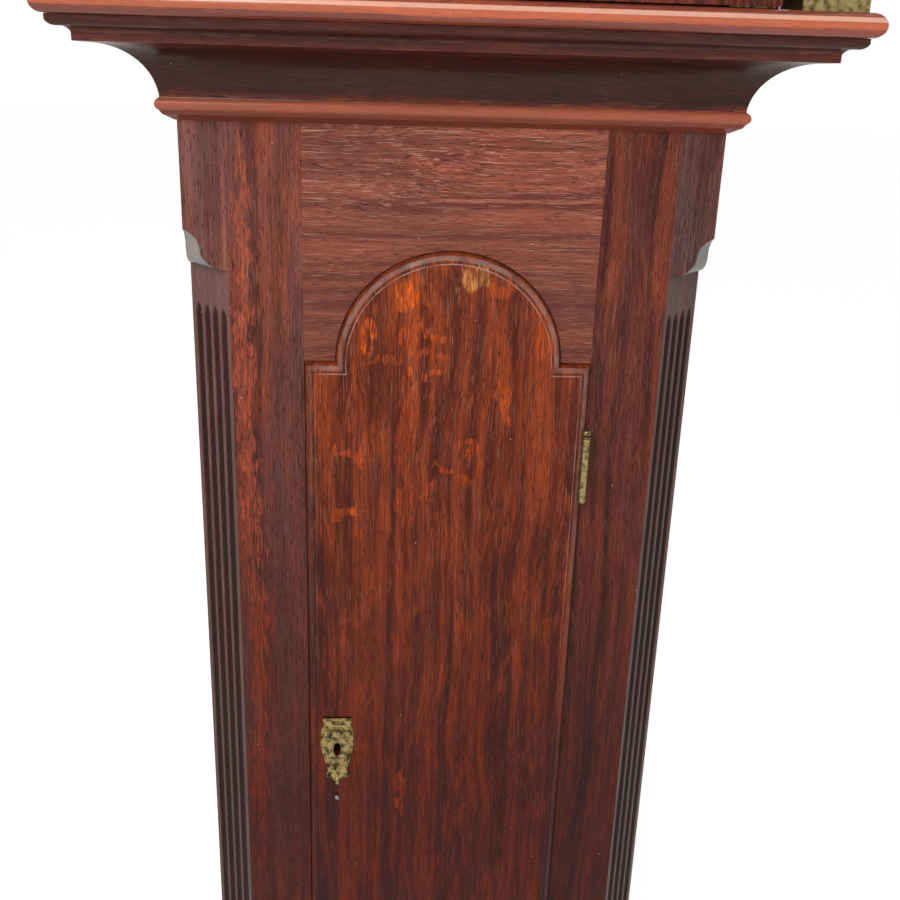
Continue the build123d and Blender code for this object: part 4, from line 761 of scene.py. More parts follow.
@dataclass
class Assembly:
    """A group of new pieces that ride on one body."""

    body: str

    def place(
        self, name: str, shape: Mesh, finish: Finish, replaces: Iterable[str] = (), smooth: bool = True,
        body: str | None = None,
    ) -> bpy.types.Object:
        """Turn a finished shape in millimetres into a piece of the clock.

        Args:
            name: the piece's name.
            shape: the mesh, which is used up.
            finish: what it is finished with.
            replaces: CAD nodes that it stands for.
            smooth: whether its gentle edges are shaded round.
            body: the body it rides on, when not the assembly's own.

        Returns:
            The piece's object.
        """
        bmesh.ops.remove_doubles(shape, verts=shape.verts, dist=1e-4)
        bmesh.ops.recalc_face_normals(shape, faces=shape.faces)
        bmesh.ops.scale(shape, vec=(MM, MM, MM), verts=shape.verts)
        for edge in shape.edges:
            edge.smooth = len(edge.link_faces) == 2 and edge.calc_face_angle(0.0) < math.radians(35)
        for face in shape.faces:
            face.smooth = smooth
        mesh = bpy.data.meshes.new(name)
        shape.to_mesh(mesh)
        shape.free()
        mesh.materials.append(Shop.material(finish))
        piece = bpy.data.objects.new(name, mesh)
        bpy.context.collection.objects.link(piece)
        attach(piece, body or self.body)
        for node in replaces:
            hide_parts(node)
        log.info("%s: %d faces on %s", name, len(mesh.polygons), body or self.body)
        return piece


def slab(
    shape: Mesh, outline: Sequence[Point], back: float, thickness: float, chamfer: float = 0.0
) -> list[Vert]:
    """Add a flat plate of a drawn outline, seen from the front.

    Args:
        shape: the mesh that takes the plate.
        outline: its corners as (x, z), in order.
        back: the depth of its back.
        thickness: how far it stands forward of that.
        chamfer: width of the bevel round its front edge.

    Returns:
        The plate's vertices.
    """
    corners = [shape.verts.new((x, back, z)) for x, z in outline]
    face = shape.faces.new(corners)
    grown = bmesh.ops.extrude_face_region(shape, geom=[face])["geom"]
    front = [item for item in grown if isinstance(item, Vert)]
    bmesh.ops.translate(shape, vec=(0, -thickness, 0), verts=front)
    if chamfer:
        rim = [e for e in shape.edges if all(v in front for v in e.verts)]
        made = bmesh.ops.bevel(
            shape, geom=rim, offset=chamfer, offset_type="OFFSET", segments=2, profile=0.5,
            affect="EDGES", clamp_overlap=True, material=-1,
        )
        return corners + made["verts"]
    return corners + front


def turned(
    shape: Mesh, profile: Sequence[Point], centre: Sequence[float], axis: str, steps: int = 48
) -> None:
    """Add a turned piece: a profile of (radius, height) spun about an axis.

    Args:
        shape: the mesh that takes the piece.
        profile: the outline from one end to the other.
        centre: the point at height 0 on the axis.
        axis: "x", "y" or "z"; height grows along it.
        steps: faces round the piece.
    """
    middle = Vector(centre)
    line = Vector((axis == "x", axis == "y", axis == "z"))
    across = line.orthogonal().normalized()
    points = [shape.verts.new(middle + across * r + line * h) for r, h in profile]
    edges = [shape.edges.new(pair) for pair in zip(points, points[1:])]
    bmesh.ops.spin(shape, geom=points + edges, cent=middle, axis=line, angle=math.tau, steps=steps,
                   use_merge=True, use_duplicate=False, dvec=(0, 0, 0))


def oval(centre: Point, radii: Point, count: int) -> list[Point]:
    """Draw a closed round outline seen from the front.

    Args:
        centre: its middle as (x, z).
        radii: its half width and half height.
        count: how many points it has.

    Returns:
        The points.
    """
    angles = (math.tau * i / count for i in range(count))
    return [(centre[0] + radii[0] * math.cos(a), centre[1] + radii[1] * math.sin(a)) for a in angles]


def swept(
    shape: Mesh, path: Sequence[Sequence[float]], radii: float | Sequence[float], sides: int = 8,
    closed: bool = False,
) -> list[Vert]:
    """Add a round bar that follows a path.

    Args:
        shape: the mesh that takes the bar.
        path: points on its middle line.
        radii: its radius, or one for each point.
        sides: faces round it.
        closed: whether it joins its own start.

    Returns:
        The bar's vertices.
    """
    points = [Vector(point) for point in path]
    sizes = [radii] * len(points) if isinstance(radii, (int, float)) else list(radii)
    verts: list[Vert] = []
    rings = []
    last = len(points) - 1
    for number, point in enumerate(points):
        before = points[number - 1] if number or closed else point
        after = points[(number + 1) % len(points)] if number < last or closed else point
        turn = (after - before).to_track_quat("Z", "Y").to_matrix().to_4x4()
        made = bmesh.ops.create_circle(
            shape, cap_ends=not closed and number in (0, last), segments=sides, radius=sizes[number],
            matrix=Matrix.Translation(point) @ turn,
        )["verts"]
        verts += made
        rings.append({edge for vert in made for edge in vert.link_edges})
    pairs = list(zip(rings, rings[1:])) + ([(rings[-1], rings[0])] if closed else [])
    for one, two in pairs:
        bmesh.ops.bridge_loops(shape, edges=list(one | two))
    return verts


def bead(
    shape: Mesh, centre: Sequence[float], radius: float, squeeze: float = 1.0,
    steps: tuple[int, int] = (16, 10),
) -> list[Vert]:
    """Add a ball.

    Args:
        shape: the mesh that takes the ball.
        centre: its middle.
        radius: its radius.
        squeeze: its depth as a share of its width.
        steps: faces round it and from pole to pole.

    Returns:
        The ball's vertices.
    """
    move = Matrix.Translation(centre) @ Matrix.Diagonal((radius, radius * squeeze, radius, 1.0))
    return bmesh.ops.create_uvsphere(
        shape, u_segments=steps[0], v_segments=steps[1], radius=1.0, matrix=move
    )["verts"]


def screw_head(
    shape: Mesh, centre: Sequence[float], radius: float, proud: float, facing: Matrix, turn: float
) -> None:
    """Add a slotted screw head.

    Args:
        shape: the mesh that takes the head.
        centre: the middle of its foot.
        radius: the head's radius.
        proud: how far it stands out.
        facing: the rotation that brings the front to the side it is seen from.
        turn: the slot's angle in degrees.
    """
    made: list[Vert] = []
    ground = proud * 0.45
    made += slab(shape, oval((0, 0), (radius, radius), 24), 0, ground)
    slot = 0.16
    for side in (1, -1):
        start = math.asin(slot)
        angles = [start + (math.pi - 2 * start) * i / 10 for i in range(11)]
        half = [(radius * math.cos(a), side * radius * math.sin(a)) for a in angles]
        made += slab(shape, half, -ground, proud - ground)
    twist = Matrix.Rotation(math.radians(turn), 4, "Y")
    bmesh.ops.transform(shape, matrix=Matrix.Translation(centre) @ facing @ twist, verts=made)


BACK = Matrix.Rotation(math.pi, 4, "Z")
LEFT = Matrix.Rotation(-math.pi / 2, 4, "Z")
RIGHT = Matrix.Rotation(math.pi / 2, 4, "Z")


def spiral(centre: Point, radii: Point, angles: Point, steps: int = 26) -> list[Spot]:
    """Draw a spiral at depth 0, seen from the front.

    Args:
        centre: its eye as (x, z).
        radii: how far it is from the eye at the start and the end.
        angles: its direction from the eye at the start and the end, in degrees.
        steps: how many pieces it is drawn in.

    Returns:
        The points.
    """
    points = []
    for step in range(steps + 1):
        share = step / steps
        radius = radii[0] + (radii[1] - radii[0]) * share
        angle = math.radians(angles[0] + (angles[1] - angles[0]) * share)
        points.append((centre[0] + radius * math.cos(angle), 0, centre[1] + radius * math.sin(angle)))
    return points


@dataclass
class DialFigures(Assembly):
    """The engraved and waxed figures of the chapter ring and the seconds ring."""

    body: str = "case"
    ring_inner: float = 100.0
    figure_height: float = 19.0
    figure_foot: float = 104.0
    minute_band: Point = (127.5, 131.5)
    proud: float = 0.12
    thick: float = 3.0
    thin: float = 1.3
    serif: float = 0.9
    engraved: float = 0.4
    seconds_height: float = 44.0
    seconds_outer: float = 27.0
    seconds_inner: float = 18.0
    seconds_thick: float = 0.7
    seconds_band: Point = (23.0, 25.4)
    strokes: dict[str, float] = field(default_factory=lambda: {"I": 5.2, "V": 11.5, "X": 12.5})

    def letter(self, sign: str, left: float) -> list[list[Point]]:
        """Draw one Roman sign as bars, its foot at height 0.

        Args:
            sign: I, V or X.
            left: where the sign starts.

        Returns:
            The outlines of its bars.
        """
        tall, wide = self.figure_height, self.strokes[sign]
        bars = []

        def bar(foot: float, head: float, width: float) -> None:
            half = width / 2
            bars.append([(foot - half, 0), (foot + half, 0), (head + half, tall), (head - half, tall)])

        def cap(middle: float, half: float, lows: Sequence[float]) -> None:
            left_end, right_end = middle - half, middle + half
            for low in lows:
                top = low + self.serif
                bars.append([(left_end, low), (right_end, low), (right_end, top), (left_end, top)])

        middle = left + wide / 2
        both = (0, tall - self.serif)
        if sign == "I":
            bar(middle, middle, self.thick)
            cap(middle, 2.4, both)
        elif sign == "V":
            bar(middle, left + 2.2, self.thick)
            bar(middle + 0.6, left + wide - 1.6, self.thin)
            for head in (left + 2.2, left + wide - 1.6):
                cap(head, 2.3, both[1:])
        else:
            bar(left + wide - 2.4, left + 2.4, self.thick)
            bar(left + 2.0, left + wide - 2.0, self.thin)
            for end in (left + 2.2, left + wide - 2.2):
                cap(end, 2.0, both)
        return bars

    def numeral(self, shape: Mesh, text: str, hour: int) -> None:
        """Stand a numeral on the ring at its hour, its foot towards the middle."""
        left = -sum(self.strokes[sign] for sign in text) / 2
        turn = Matrix.Rotation(math.radians(30 * hour), 4, "Y")
        move = Matrix.Translation((0, 0, DIAL_CENTRE)) @ turn
        move @= Matrix.Translation((0, 0, self.figure_foot))
        for sign in text:
            for outline in self.letter(sign, left):
                bmesh.ops.transform(shape, matrix=move, verts=slab(shape, outline, RING_FACE, self.proud))
            left += self.strokes[sign]

    def tick(
        self, shape: Mesh, centre: float, angle: float, radii: Point, width: float, back: float
    ) -> None:
        """Add a radial mark between two radii, turned by an angle in degrees from twelve."""
        low, high = radii
        half = width / 2
        made = slab(shape, [(-half, low), (half, low), (half, high), (-half, high)], back, self.proud)
        move = Matrix.Translation((0, 0, centre)) @ Matrix.Rotation(math.radians(angle), 4, "Y")
        bmesh.ops.transform(shape, matrix=move, verts=made)

    def circle(self, shape: Mesh, centre: float, radius: float, width: float, back: float) -> None:
        """Add a thin engraved circle."""
        outer = radius + width
        profile = [(radius, 0), (radius, -self.proud), (outer, -self.proud), (outer, 0)]
        turned(shape, profile, (0, back, centre), "y", 96)

    def build(self) -> None:
        """Make the figures of both rings."""
        hours = ("XII", "I", "II", "III", "IIII", "V", "VI", "VII", "VIII", "IX", "X", "XI")
        shape = bmesh.new()
        for hour, text in enumerate(hours):
            self.numeral(shape, text, hour)
        low, high = self.minute_band
        for minute in range(60):
            width = 0.8 if minute % 5 else 1.8
            self.tick(shape, DIAL_CENTRE, 6 * minute, (low, high), width, RING_FACE)
        band = (self.ring_inner + 1.8, self.ring_inner + 4.0)
        for quarter in range(48):
            if quarter % 4:
                self.tick(shape, DIAL_CENTRE, 7.5 * quarter, band, self.engraved, RING_FACE)
        for radius in (low - 0.6, high, self.ring_inner + 1.4, band[1]):
            self.circle(shape, DIAL_CENTRE, radius, self.engraved, RING_FACE)
        self.place("chapter_ring_figures", shape, WAX, smooth=False)
        level = DIAL_CENTRE + self.seconds_height
        shape = bmesh.new()
        inner, outer, thick = self.seconds_inner, self.seconds_outer, self.seconds_thick
        section = [(inner, 0), (inner, -thick), (outer, -thick), (outer, 0)]
        turned(shape, section, (0, DIAL_FACE, level), "y", 96)
        self.place("seconds_ring", shape, SILVERED, smooth=False)
        shape = bmesh.new()
        face = DIAL_FACE - thick
        for second in range(60):
            width = 0.55 if second % 5 else 1.0
            self.tick(shape, level, 6 * second, self.seconds_band, width, face)
        for radius in (self.seconds_band[0] - 0.4, self.seconds_band[1]):
            self.circle(shape, level, radius, 0.3, face)
        self.place("seconds_ring_figures", shape, WAX, smooth=False)


@dataclass
class DialOrnament(Assembly):
    """Cast scrolls in the dial's corners, the fine rings on it and the minute hand's washer and pin."""

    body: str = "case"
    reach: float = 122.0
    hand_face: float = -71.05

    def stem(self, *points: Point) -> list[Spot]:
        """Draw a stem by its points as seen from the corner's middle."""
        return [(self.reach + x, 0, self.reach + z) for x, z in points]

    def corner(self, shape: Mesh) -> None:
        """Cast the scrollwork of the upper right corner, the same on both sides of its diagonal."""
        at = self.reach
        made: list[Vert] = []
        for mirrored in (False, True):
            drawn = (
                (spiral((at + 12, at - 25), (10, 2.2), (100, -400)), (2.2, 0.9)),
                (spiral((at + 17.5, at - 52), (7, 1.6), (110, -380)), (1.8, 0.8)),
                (spiral((at + 19, at - 72), (14, 9), (95, 20), 8), (0.5, 1.6)),
                (self.stem((3, -8), (9, -13), (10, -16)), (1.2, 2.0)),
                (self.stem((4, 3), (12, 6), (17, 13), (24, 18)), (2.8, 0.5)),
                (self.stem((5, -1), (14, -3), (20, 1), (25, 1)), (2.4, 0.5)),
                (self.stem((-3, -5), (-9, -8), (-10, -14)), (2.0, 0.6)),
            )
            for path, (start, end) in drawn:
                last = len(path) - 1
                sizes = [start + (end - start) * i / last for i in range(last + 1)]
                points = [(p[2], p[1], p[0]) if mirrored else p for p in path]
                made += swept(shape, points, sizes)
        for spot, radius in (((0, 0), 6.5), ((-8, -8), 3.0), ((26, -66), 2.0), ((-66, 26), 2.0)):
            made += bead(shape, self.stem(spot)[0], radius, 0.8, (20, 12))
        ring = [(x, 0, z) for x, z in oval((at, at), (8.6, 8.6), 28)]
        made += swept(shape, ring, 1.0, closed=True)
        squeeze = Matrix.Diagonal((1, 0.7, 1, 1))
        bmesh.ops.transform(shape, matrix=Matrix.Translation((0, DIAL_FACE, 0)) @ squeeze, verts=made)

    def spandrels(self) -> None:
        """Put one casting in each corner of the dial."""
        for name, across, up in (
            ("upper_right", 1, 1), ("upper_left", -1, 1), ("lower_right", 1, -1), ("lower_left", -1, -1),
        ):
            shape = bmesh.new()
            self.corner(shape)
            bmesh.ops.scale(shape, vec=(across, 1, up), verts=shape.verts)
            bmesh.ops.translate(shape, vec=(0, 0, DIAL_CENTRE), verts=shape.verts)
            self.place(f"spandrel_{name}", shape, CAST_BRASS)

    def rings(self) -> None:
        """Turn the ring round each winding hole and the fine one that edges the matted middle."""
        shape = bmesh.new()
        for side in (1, -1):
            profile = [(6.1, 0), (6.3, -0.7), (7.1, -0.9), (7.7, -0.4), (8.3, -0.8), (9.1, -0.7), (9.4, 0)]
            turned(shape, profile, (side * WINDING[0], DIAL_FACE, WINDING[1]), "y", 64)
        profile = [(96.5, 0), (97, -0.6), (98.4, -0.8), (99.4, -0.5), (99.6, 0)]
        turned(shape, profile, (0, DIAL_FACE, DIAL_CENTRE), "y", 128)
        self.place("dial_rings", shape, CAST_BRASS)

    def collets(self) -> None:
        """Turn the domed washer and the taper pin that hold the minute hand."""
        foot = (0, self.hand_face, DIAL_CENTRE)
        pin = self.hand_face - 2.55
        shape = bmesh.new()
        turned(shape, [(3.6, 0), (7.2, 0), (7.0, -0.65), (5.6, -1.55), (3.6, -1.95)], foot, "y")
        turned(shape, [(0, -0.65), (3.4, -0.65), (3.4, -3.15), (2.8, -3.75), (0, -3.85)], foot, "y", 32)
        swept(shape, [(-6.5, pin, DIAL_CENTRE), (6.5, pin, DIAL_CENTRE)], (0.45, 0.85), 12)
        self.place("minute_collet", shape, MOVEMENT_BRASS, body="centre_train")

    def build(self) -> None:
        """Make everything."""
        self.spandrels()
        self.rings()
        self.collets()


@dataclass
class KeyholePlate(Assembly):
    """The cast keyhole plate in relief, and the pin below it."""

    body: str = "trunk_door"
    middle: float = -76.5
    keyhole: float = 954.0
    pin: float = 909.5
    top: float = 982.5
    tall: float = 62.0
    half: float = 12.7
    front: float = DOOR_FACE
    side: tuple[Point, ...] = (
        (0.0, 0.84), (0.06, 0.86), (0.11, 0.82), (0.16, 0.93), (0.21, 0.99), (0.26, 0.93), (0.3, 0.97),
        (0.37, 1.0), (0.47, 0.93), (0.59, 0.8), (0.7, 0.66), (0.78, 0.55), (0.82, 0.68), (0.86, 0.62),
        (0.89, 0.4), (0.92, 0.22),
    )
    vase: tuple[Point, ...] = (
        (0.15, 0.3), (0.2, 0.22), (0.28, 0.28), (0.37, 0.6), (0.44, 0.7), (0.58, 0.56), (0.7, 0.36),
        (0.8, 0.08),
    )
    husk: tuple[Point, ...] = ((0.12, 0.6), (0.19, 0.66), (0.27, 0.54), (0.35, 0.8))
    beads: tuple[Spot, ...] = ((0.2, 0.86, 1.5), (0.25, 0.9, 1.2), (0.3, 0.92, 1.1), (0.14, 0.8, 1.1))

    def at(self, down: float, out: float = 0.0) -> Point:
        """Find the point at a share of the height down and a share of the half width to the right."""
        return (self.middle + self.half * out, self.top - self.tall * down)

    def ring(self, squeeze: float, lift: float, side: Sequence[Point]) -> list[Point]:
        """Draw a closed outline from the widths of one side.

        Args:
            squeeze: how much narrower it is than the plate.
            lift: how far its ends are drawn in.
            side: shares of the height from the top, each with a share of the half width.

        Returns:
            The outline's corners.
        """
        right = [
            (self.middle + self.half * wide * squeeze, self.top - self.tall * down - lift * (1 - 2 * down))
            for down, wide in side
        ]
        return right + [(2 * self.middle - x, z) for x, z in reversed(right)]

    def plate(self, shape: Mesh) -> None:
        """Cast the ground of the plate with the keyhole through it."""
        outline = self.ring(1.0, 0.0, self.side)
        hole = oval((self.middle, self.keyhole), (2.9, 5.7), 28)
        loops = []
        for points in (outline, hole):
            verts = [shape.verts.new((x, self.front, z)) for x, z in points]
            loops += [shape.edges.new((a, b)) for a, b in zip(verts, verts[1:] + verts[:1])]
        faces = bmesh.ops.bridge_loops(shape, edges=loops)["faces"]
        grown = bmesh.ops.extrude_face_region(shape, geom=faces)["geom"]
        front = [item for item in grown if isinstance(item, Vert)]
        bmesh.ops.translate(shape, vec=(0, -0.9, 0), verts=front)

    def relief(self, shape: Mesh) -> None:
        """Cast the raised lines, the crown, the drop and the beads over the ground."""
        face = self.front - 0.8
        rim = self.ring(0.93, 0.8, self.side)
        vase = self.ring(1.0, 0.0, self.vase)
        hole = oval((self.middle, self.keyhole), (3.6, 6.5), 32)
        for outline, radius in ((rim, 0.72), (vase, 0.6), (hole, 0.62)):
            swept(shape, [(x, face, z) for x, z in outline], radius, closed=True)
        wide = self.half * 0.86
        left, right = self.middle - wide, self.middle + wide
        slab(shape, [(left, self.top - 3), (right, self.top - 3), (right, self.top), (left, self.top)],
             self.front, 1.7, 0.5)
        low = self.top - 8.2
        slab(shape, [(self.middle - 3.2, low), (self.middle + 3.2, low), (self.middle + 4.4, low + 2.4),
                     (self.middle - 4.4, low + 2.4)], face + 0.2, 0.8, 0.25)
        foot = self.keyhole - 8.2
        slab(shape, [(self.middle, foot - 12), (self.middle + 5.2, foot), (self.middle - 5.2, foot)],
             face + 0.2, 0.8, 0.3)
        for side in (-1, 1):
            for down, out, radius in self.beads:
                x, z = self.at(down, side * out)
                bead(shape, (x, face, z), radius, 0.7)
            x, z = self.at(0.85, side * 0.55)
            bead(shape, (x, face, z), 2.1, 0.65)
            husk = [self.at(down, side * out) for down, out in self.husk]
            swept(shape, [(x, face, z) for x, z in husk], (0.5, 0.8, 0.6, 0.3))
        for down, radius in ((0.915, 2.3), (0.965, 1.7), (0.86, 1.3)):
            x, z = self.at(down)
            bead(shape, (x, face + 0.2, z), radius, 0.65)

    def build(self) -> None:
        """Make the plate, and the small bent pin below it."""
        shape = bmesh.new()
        self.plate(shape)
        self.relief(shape)
        self.place("keyhole_plate", shape, PLATE_BRASS, replaces=("escutcheon",))
        shape = bmesh.new()
        x, y, z = self.middle - 0.4, self.front, self.pin
        head = [(0, -1.5), (1.2, -1.2), (1.7, -0.4), (1.5, 0.4), (0, 0.6)]
        turned(shape, head, (x, y - 1.2, z), "y", 20)
        bent = [(x, y + 0.5, z), (x, y - 1.5, z), (x + 1.0, y - 2.1, z - 1.6), (x + 2.2, y - 1.7, z - 2.2)]
        swept(shape, bent, (0.7, 0.7, 0.6, 0.4))
        self.place("door_pin", shape, FILED_STEEL)


@dataclass
class CaseFittings(Assembly):
    """Collars of the hinges, screws, mouldings of the pillar brasses, the hood door's bead and knob."""

    body: str = "case"
    hinge: Point = (97.9, -56.0)
    levels: Point = (1189.5, 648.5)
    length: float = 43.0
    leaf_depth: float = -37.5
    lock_back: float = -22.5
    lock_sides: Point = (-88.6, -68.6)
    lock_levels: Point = (928.0, 980.0)
    pillars: Point = (213.5, -86.5)
    pillar_ends: Point = (1496.8, 1887.2)
    pillar_rings: tuple[Spot, ...] = (
        (12.5, 18.0, 1.5), (16.6, 18.0, 1.0), (20.0, 14.5, 0.9), (26.6, 16.5, 1.4),
    )
    opening: Spot = (150.0, 1542.0, 1842.0)
    knob_foot: Point = (-168.0, -92.0)

    def hinge_rings(self) -> None:
        """Turn the collars between each hinge's knuckles and under its finials."""
        shape = bmesh.new()
        bulge = [(2.75, -0.7), (3.15, -0.45), (3.3, 0), (3.15, 0.45), (2.75, 0.7)]
        for level in self.levels:
            for share in (-0.5, -0.44, 0.44, 0.5):
                turned(shape, bulge, (*self.hinge, level + share * (self.length - 1)), "z", 32)
            for way in (-1, 1):
                tip = level + way * (self.length / 2 + 6.2)
                ball = [(0, 0.9), (0.8, 0.6), (1.0, 0), (0.8, -0.6), (0, -0.9)]
                turned(shape, ball, (*self.hinge, tip), "z", 20)
        self.place("hinge_collars", shape, CASE_BRASS, body="trunk_door")

    def leaf_screws(self) -> None:
        """Drive two screws through each leaf of the hinges."""
        for name, body, x, facing in (
            ("case_leaf_screws", "case", 98.2, LEFT), ("door_leaf_screws", "trunk_door", DOOR_HALF, RIGHT),
        ):
            shape = bmesh.new()
            for level in self.levels:
                for step, turn in ((-13, 20), (13, 65)):
                    screw_head(shape, (x, self.leaf_depth, level + step), 2.6, 0.2, facing, turn)
            self.place(name, shape, FILED_STEEL, smooth=False, body=body)

    def lock_screws(self) -> None:
        """Fix the lock to the door's back with four screws."""
        shape = bmesh.new()
        corners = [(x, self.lock_back, z) for z in self.lock_levels for x in self.lock_sides]
        for number, corner in enumerate(corners):
            screw_head(shape, corner, 2.6, 0.8, BACK, 35 * number)
        self.place("lock_screws", shape, FILED_STEEL, smooth=False, body="trunk_door")

    def pillar_mouldings(self) -> None:
        """Turn the rings of each pillar's brass base and cap."""
        shape = bmesh.new()
        for side in (-1, 1):
            for end, way in zip(self.pillar_ends, (1, -1)):
                for height, radius, size in self.pillar_rings:
                    profile = [(radius - 0.6 + size * math.cos(a), size * math.sin(a))
                               for a in (math.pi * (i / 8 - 0.5) for i in range(9))]
                    middle = (side * self.pillars[0], self.pillars[1], end + way * height)
                    turned(shape, profile, middle, "z", 64)
        self.place("pillar_mouldings", shape, CASE_BRASS, body="hood")

    def door_bead(self) -> None:
        """Plane the small moulding that holds the hood door's glass."""
        half, low, high = self.opening
        section = [
            (0.0, -84.3), (5.0, -84.3), (4.6, -86.2), (3.4, -87.9), (1.9, -88.9), (1.4, -90.4), (0.0, -90.6),
        ]
        shape = bmesh.new()
        rings = []
        for across, up in ((-1, 0), (1, 0), (1, 1), (-1, 1)):
            ring = []
            for out, depth in section:
                z = high - out if up else low + out
                ring.append(shape.verts.new((across * (half - out), depth, z)))
            rings.append({shape.edges.new((a, b)) for a, b in zip(ring, ring[1:] + ring[:1])})
        for one, two in zip(rings, rings[1:] + rings[:1]):
            bmesh.ops.bridge_loops(shape, edges=list(one | two))
        oak = StainedOak("varnished_oak_bead", "frame_oak", shift=91.0)
        self.place("hood_door_bead", shape, oak, body="hood_door")

    def knob(self) -> None:
        """Turn the small knob that opens the hood door."""
        shape = bmesh.new()
        profile = [
            (0, 0.5), (4.6, 0.5), (4.6, -0.8), (2.2, -1.6), (2.0, -4.2), (3.6, -5.4), (4.6, -7.6),
            (3.8, -9.6), (0, -10.4),
        ]
        turned(shape, profile, (*self.knob_foot, DIAL_CENTRE), "y", 40)
        self.place("hood_door_knob", shape, CASE_BRASS, body="hood_door")

    def build(self) -> None:
        """Make everything."""
        self.hinge_rings()
        self.leaf_screws()
        self.lock_screws()
        self.pillar_mouldings()
        self.door_bead()
        self.knob()


@dataclass
class GutLines(Assembly):
    """The two gut lines: their turns on the drums, their hanging parts and their knots.
    """

    body: str = "case"
    radius: float = 0.75
    drum: float = 27.75
    pulley: float = 20.0
    knot: Point = (2.2, 1.3)
    lay: float = 1.65
    turns: int = 4
    keep: float = 0.0452

    def line(self, side: int, name: str) -> None:
        """Lay one line from its barrel round its pulley and up to its knot.

        Args:
            side: 1 on the right, -1 on the left.
            name: the train it belongs to.
        """
        low, high = SEAT
        outer, inner = side * LINE_OUT, side * LINE_IN
        middle = side * (LINE_OUT + LINE_IN) / 2
        shape = bmesh.new()
        swept(shape, [(outer, LINE_DEPTH, WINDING[1]), (outer, LINE_DEPTH, low)], self.radius)
        swept(shape, [(inner, LINE_DEPTH, low), (inner, LINE_DEPTH, high + 1.5)], self.radius)
        knot = []
        for a in (math.tau * i / 48 for i in range(48)):
            reach = self.knot[0] * math.cos(3 * a)
            rise = high + 2 * self.knot[1] + self.knot[1] * math.sin(3 * a)
            knot.append((inner + reach * math.cos(a), LINE_DEPTH + reach * math.sin(a), rise))
        swept(shape, knot, self.radius, 6, closed=True)
        self.place(f"{name}_line_top", shape, GUT, replaces=(f"{name}_line",))
        shape = bmesh.new()
        levels = [PULLEY_LEVEL + (low - PULLEY_LEVEL) * i / 24 for i in range(25)]
        for x in (outer, inner):
            swept(shape, [(x, LINE_DEPTH, z) for z in levels], self.radius)
        hanging = self.place(f"{name}_line_hanging", shape, GUT)
        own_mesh(hanging)
        shape = bmesh.new()
        path = [
            (middle + self.pulley * math.cos(a), LINE_DEPTH, PULLEY_LEVEL - self.pulley * math.sin(a))
            for a in (math.pi * i / 20 for i in range(21))
        ]
        swept(shape, path, self.radius)
        self.place(f"{name}_line_bight", shape, GUT, body=f"{name}_weight")
        shape = bmesh.new()
        path = []
        for turn in (i / 28 for i in range(28 * self.turns + 1)):
            a = math.tau * turn
            x = side * (WINDING[0] + self.drum * math.cos(a))
            path.append((x, LINE_DEPTH + self.lay * turn, WINDING[1] + self.drum * math.sin(a)))
        swept(shape, path, self.radius, 6)
        self.place(f"{name}_line_turns", shape, GUT, body=f"{name}_barrel")

    def build(self) -> None:
        """Lay both lines."""
        self.line(1, "going")
        self.line(-1, "strike")


@dataclass
class MovementDetails(Assembly):
    """Screws, pins and washers of the movement, and the rings of the weights."""

    body: str = "case"
    pillar_out: float = 60.0
    pillar_levels: Point = (1624.0, 1773.0)
    plates_front: float = -27.0
    plates_back: float = 39.0
    cock_back: float = 51.0
    cock_screws: tuple[Point, ...] = ((1755.5, 15), (1764.5, 70))
    weight_rings: Point = (150.0, 330.0)
    weight_top: float = 350.0

    def plates(self) -> None:
        """Pin the front plate, and screw the back plate and the cock."""
        shape = bmesh.new()
        pin = self.plates_front - 2.4
        for side in (-1, 1):
            x = side * self.pillar_out
            for level in self.pillar_levels:
                foot = (x, self.plates_front, level)
                turned(shape, [(0, -5.2), (2.2, -4.9), (2.6, -4.2), (2.6, 0)], foot, "y", 24)
                turned(shape, [(0, -0.6), (4.4, -0.6), (4.6, -0.2), (4.6, 0)], foot, "y", 32)
                swept(shape, [(x - 6, pin, level), (x + 6, pin, level)], (0.5, 0.9), 10)
                screw_head(shape, (x, self.plates_back, level), 4.2, 1.6, BACK, 30 + level % 50)
        for side in (-1, 1):
            for level, turn in self.cock_screws:
                screw_head(shape, (side * 17.5, self.cock_back, level), 2.2, 1.2, BACK, turn)
        self.place("movement_screws", shape, FILED_STEEL, smooth=False)

    def weights(self) -> None:
        """Turn the boss and the rings of each weight."""
        for side, name in ((1, "going"), (-1, "strike")):
            middle = side * (LINE_OUT + LINE_IN) / 2
            shape = bmesh.new()
            for level in self.weight_rings:
                profile = [(31.6, -2.2), (32.5, -1.6), (32.9, 0), (32.5, 1.6), (31.6, 2.2)]
                turned(shape, profile, (middle, LINE_DEPTH, level), "z", 72)
            boss = [(2.4, 6), (5, 5.4), (8, 2.2), (12, 0.4), (12, -0.5)]
            turned(shape, boss, (middle, LINE_DEPTH, self.weight_top), "z", 48)
            self.place(f"{name}_weight_rings", shape, CAST_IRON, body=f"{name}_weight")

    def build(self) -> None:
        """Make everything."""
        self.plates()
        self.weights()


@dataclass(frozen=True)
class Lamp:
    """A square soft lamp: its place and aim in metres, side, watts, and whether glass and brass show it."""

    name: str
    spot: Spot
    aim: Spot
    size: float
    watts: float
    mirrored: bool

    def hang(self) -> None:
        """Hang the lamp and turn it to its aim."""
        data = bpy.data.lights.new(self.name, "AREA")
        data.size = self.size
        data.energy = self.watts
        lamp = bpy.data.objects.new(self.name, data)
        lamp.location = self.spot
        lamp.visible_glossy = self.mirrored
        lamp.rotation_euler = (Vector(self.aim) - Vector(self.spot)).to_track_quat("-Z", "Y").to_euler()
        bpy.context.collection.objects.link(lamp)


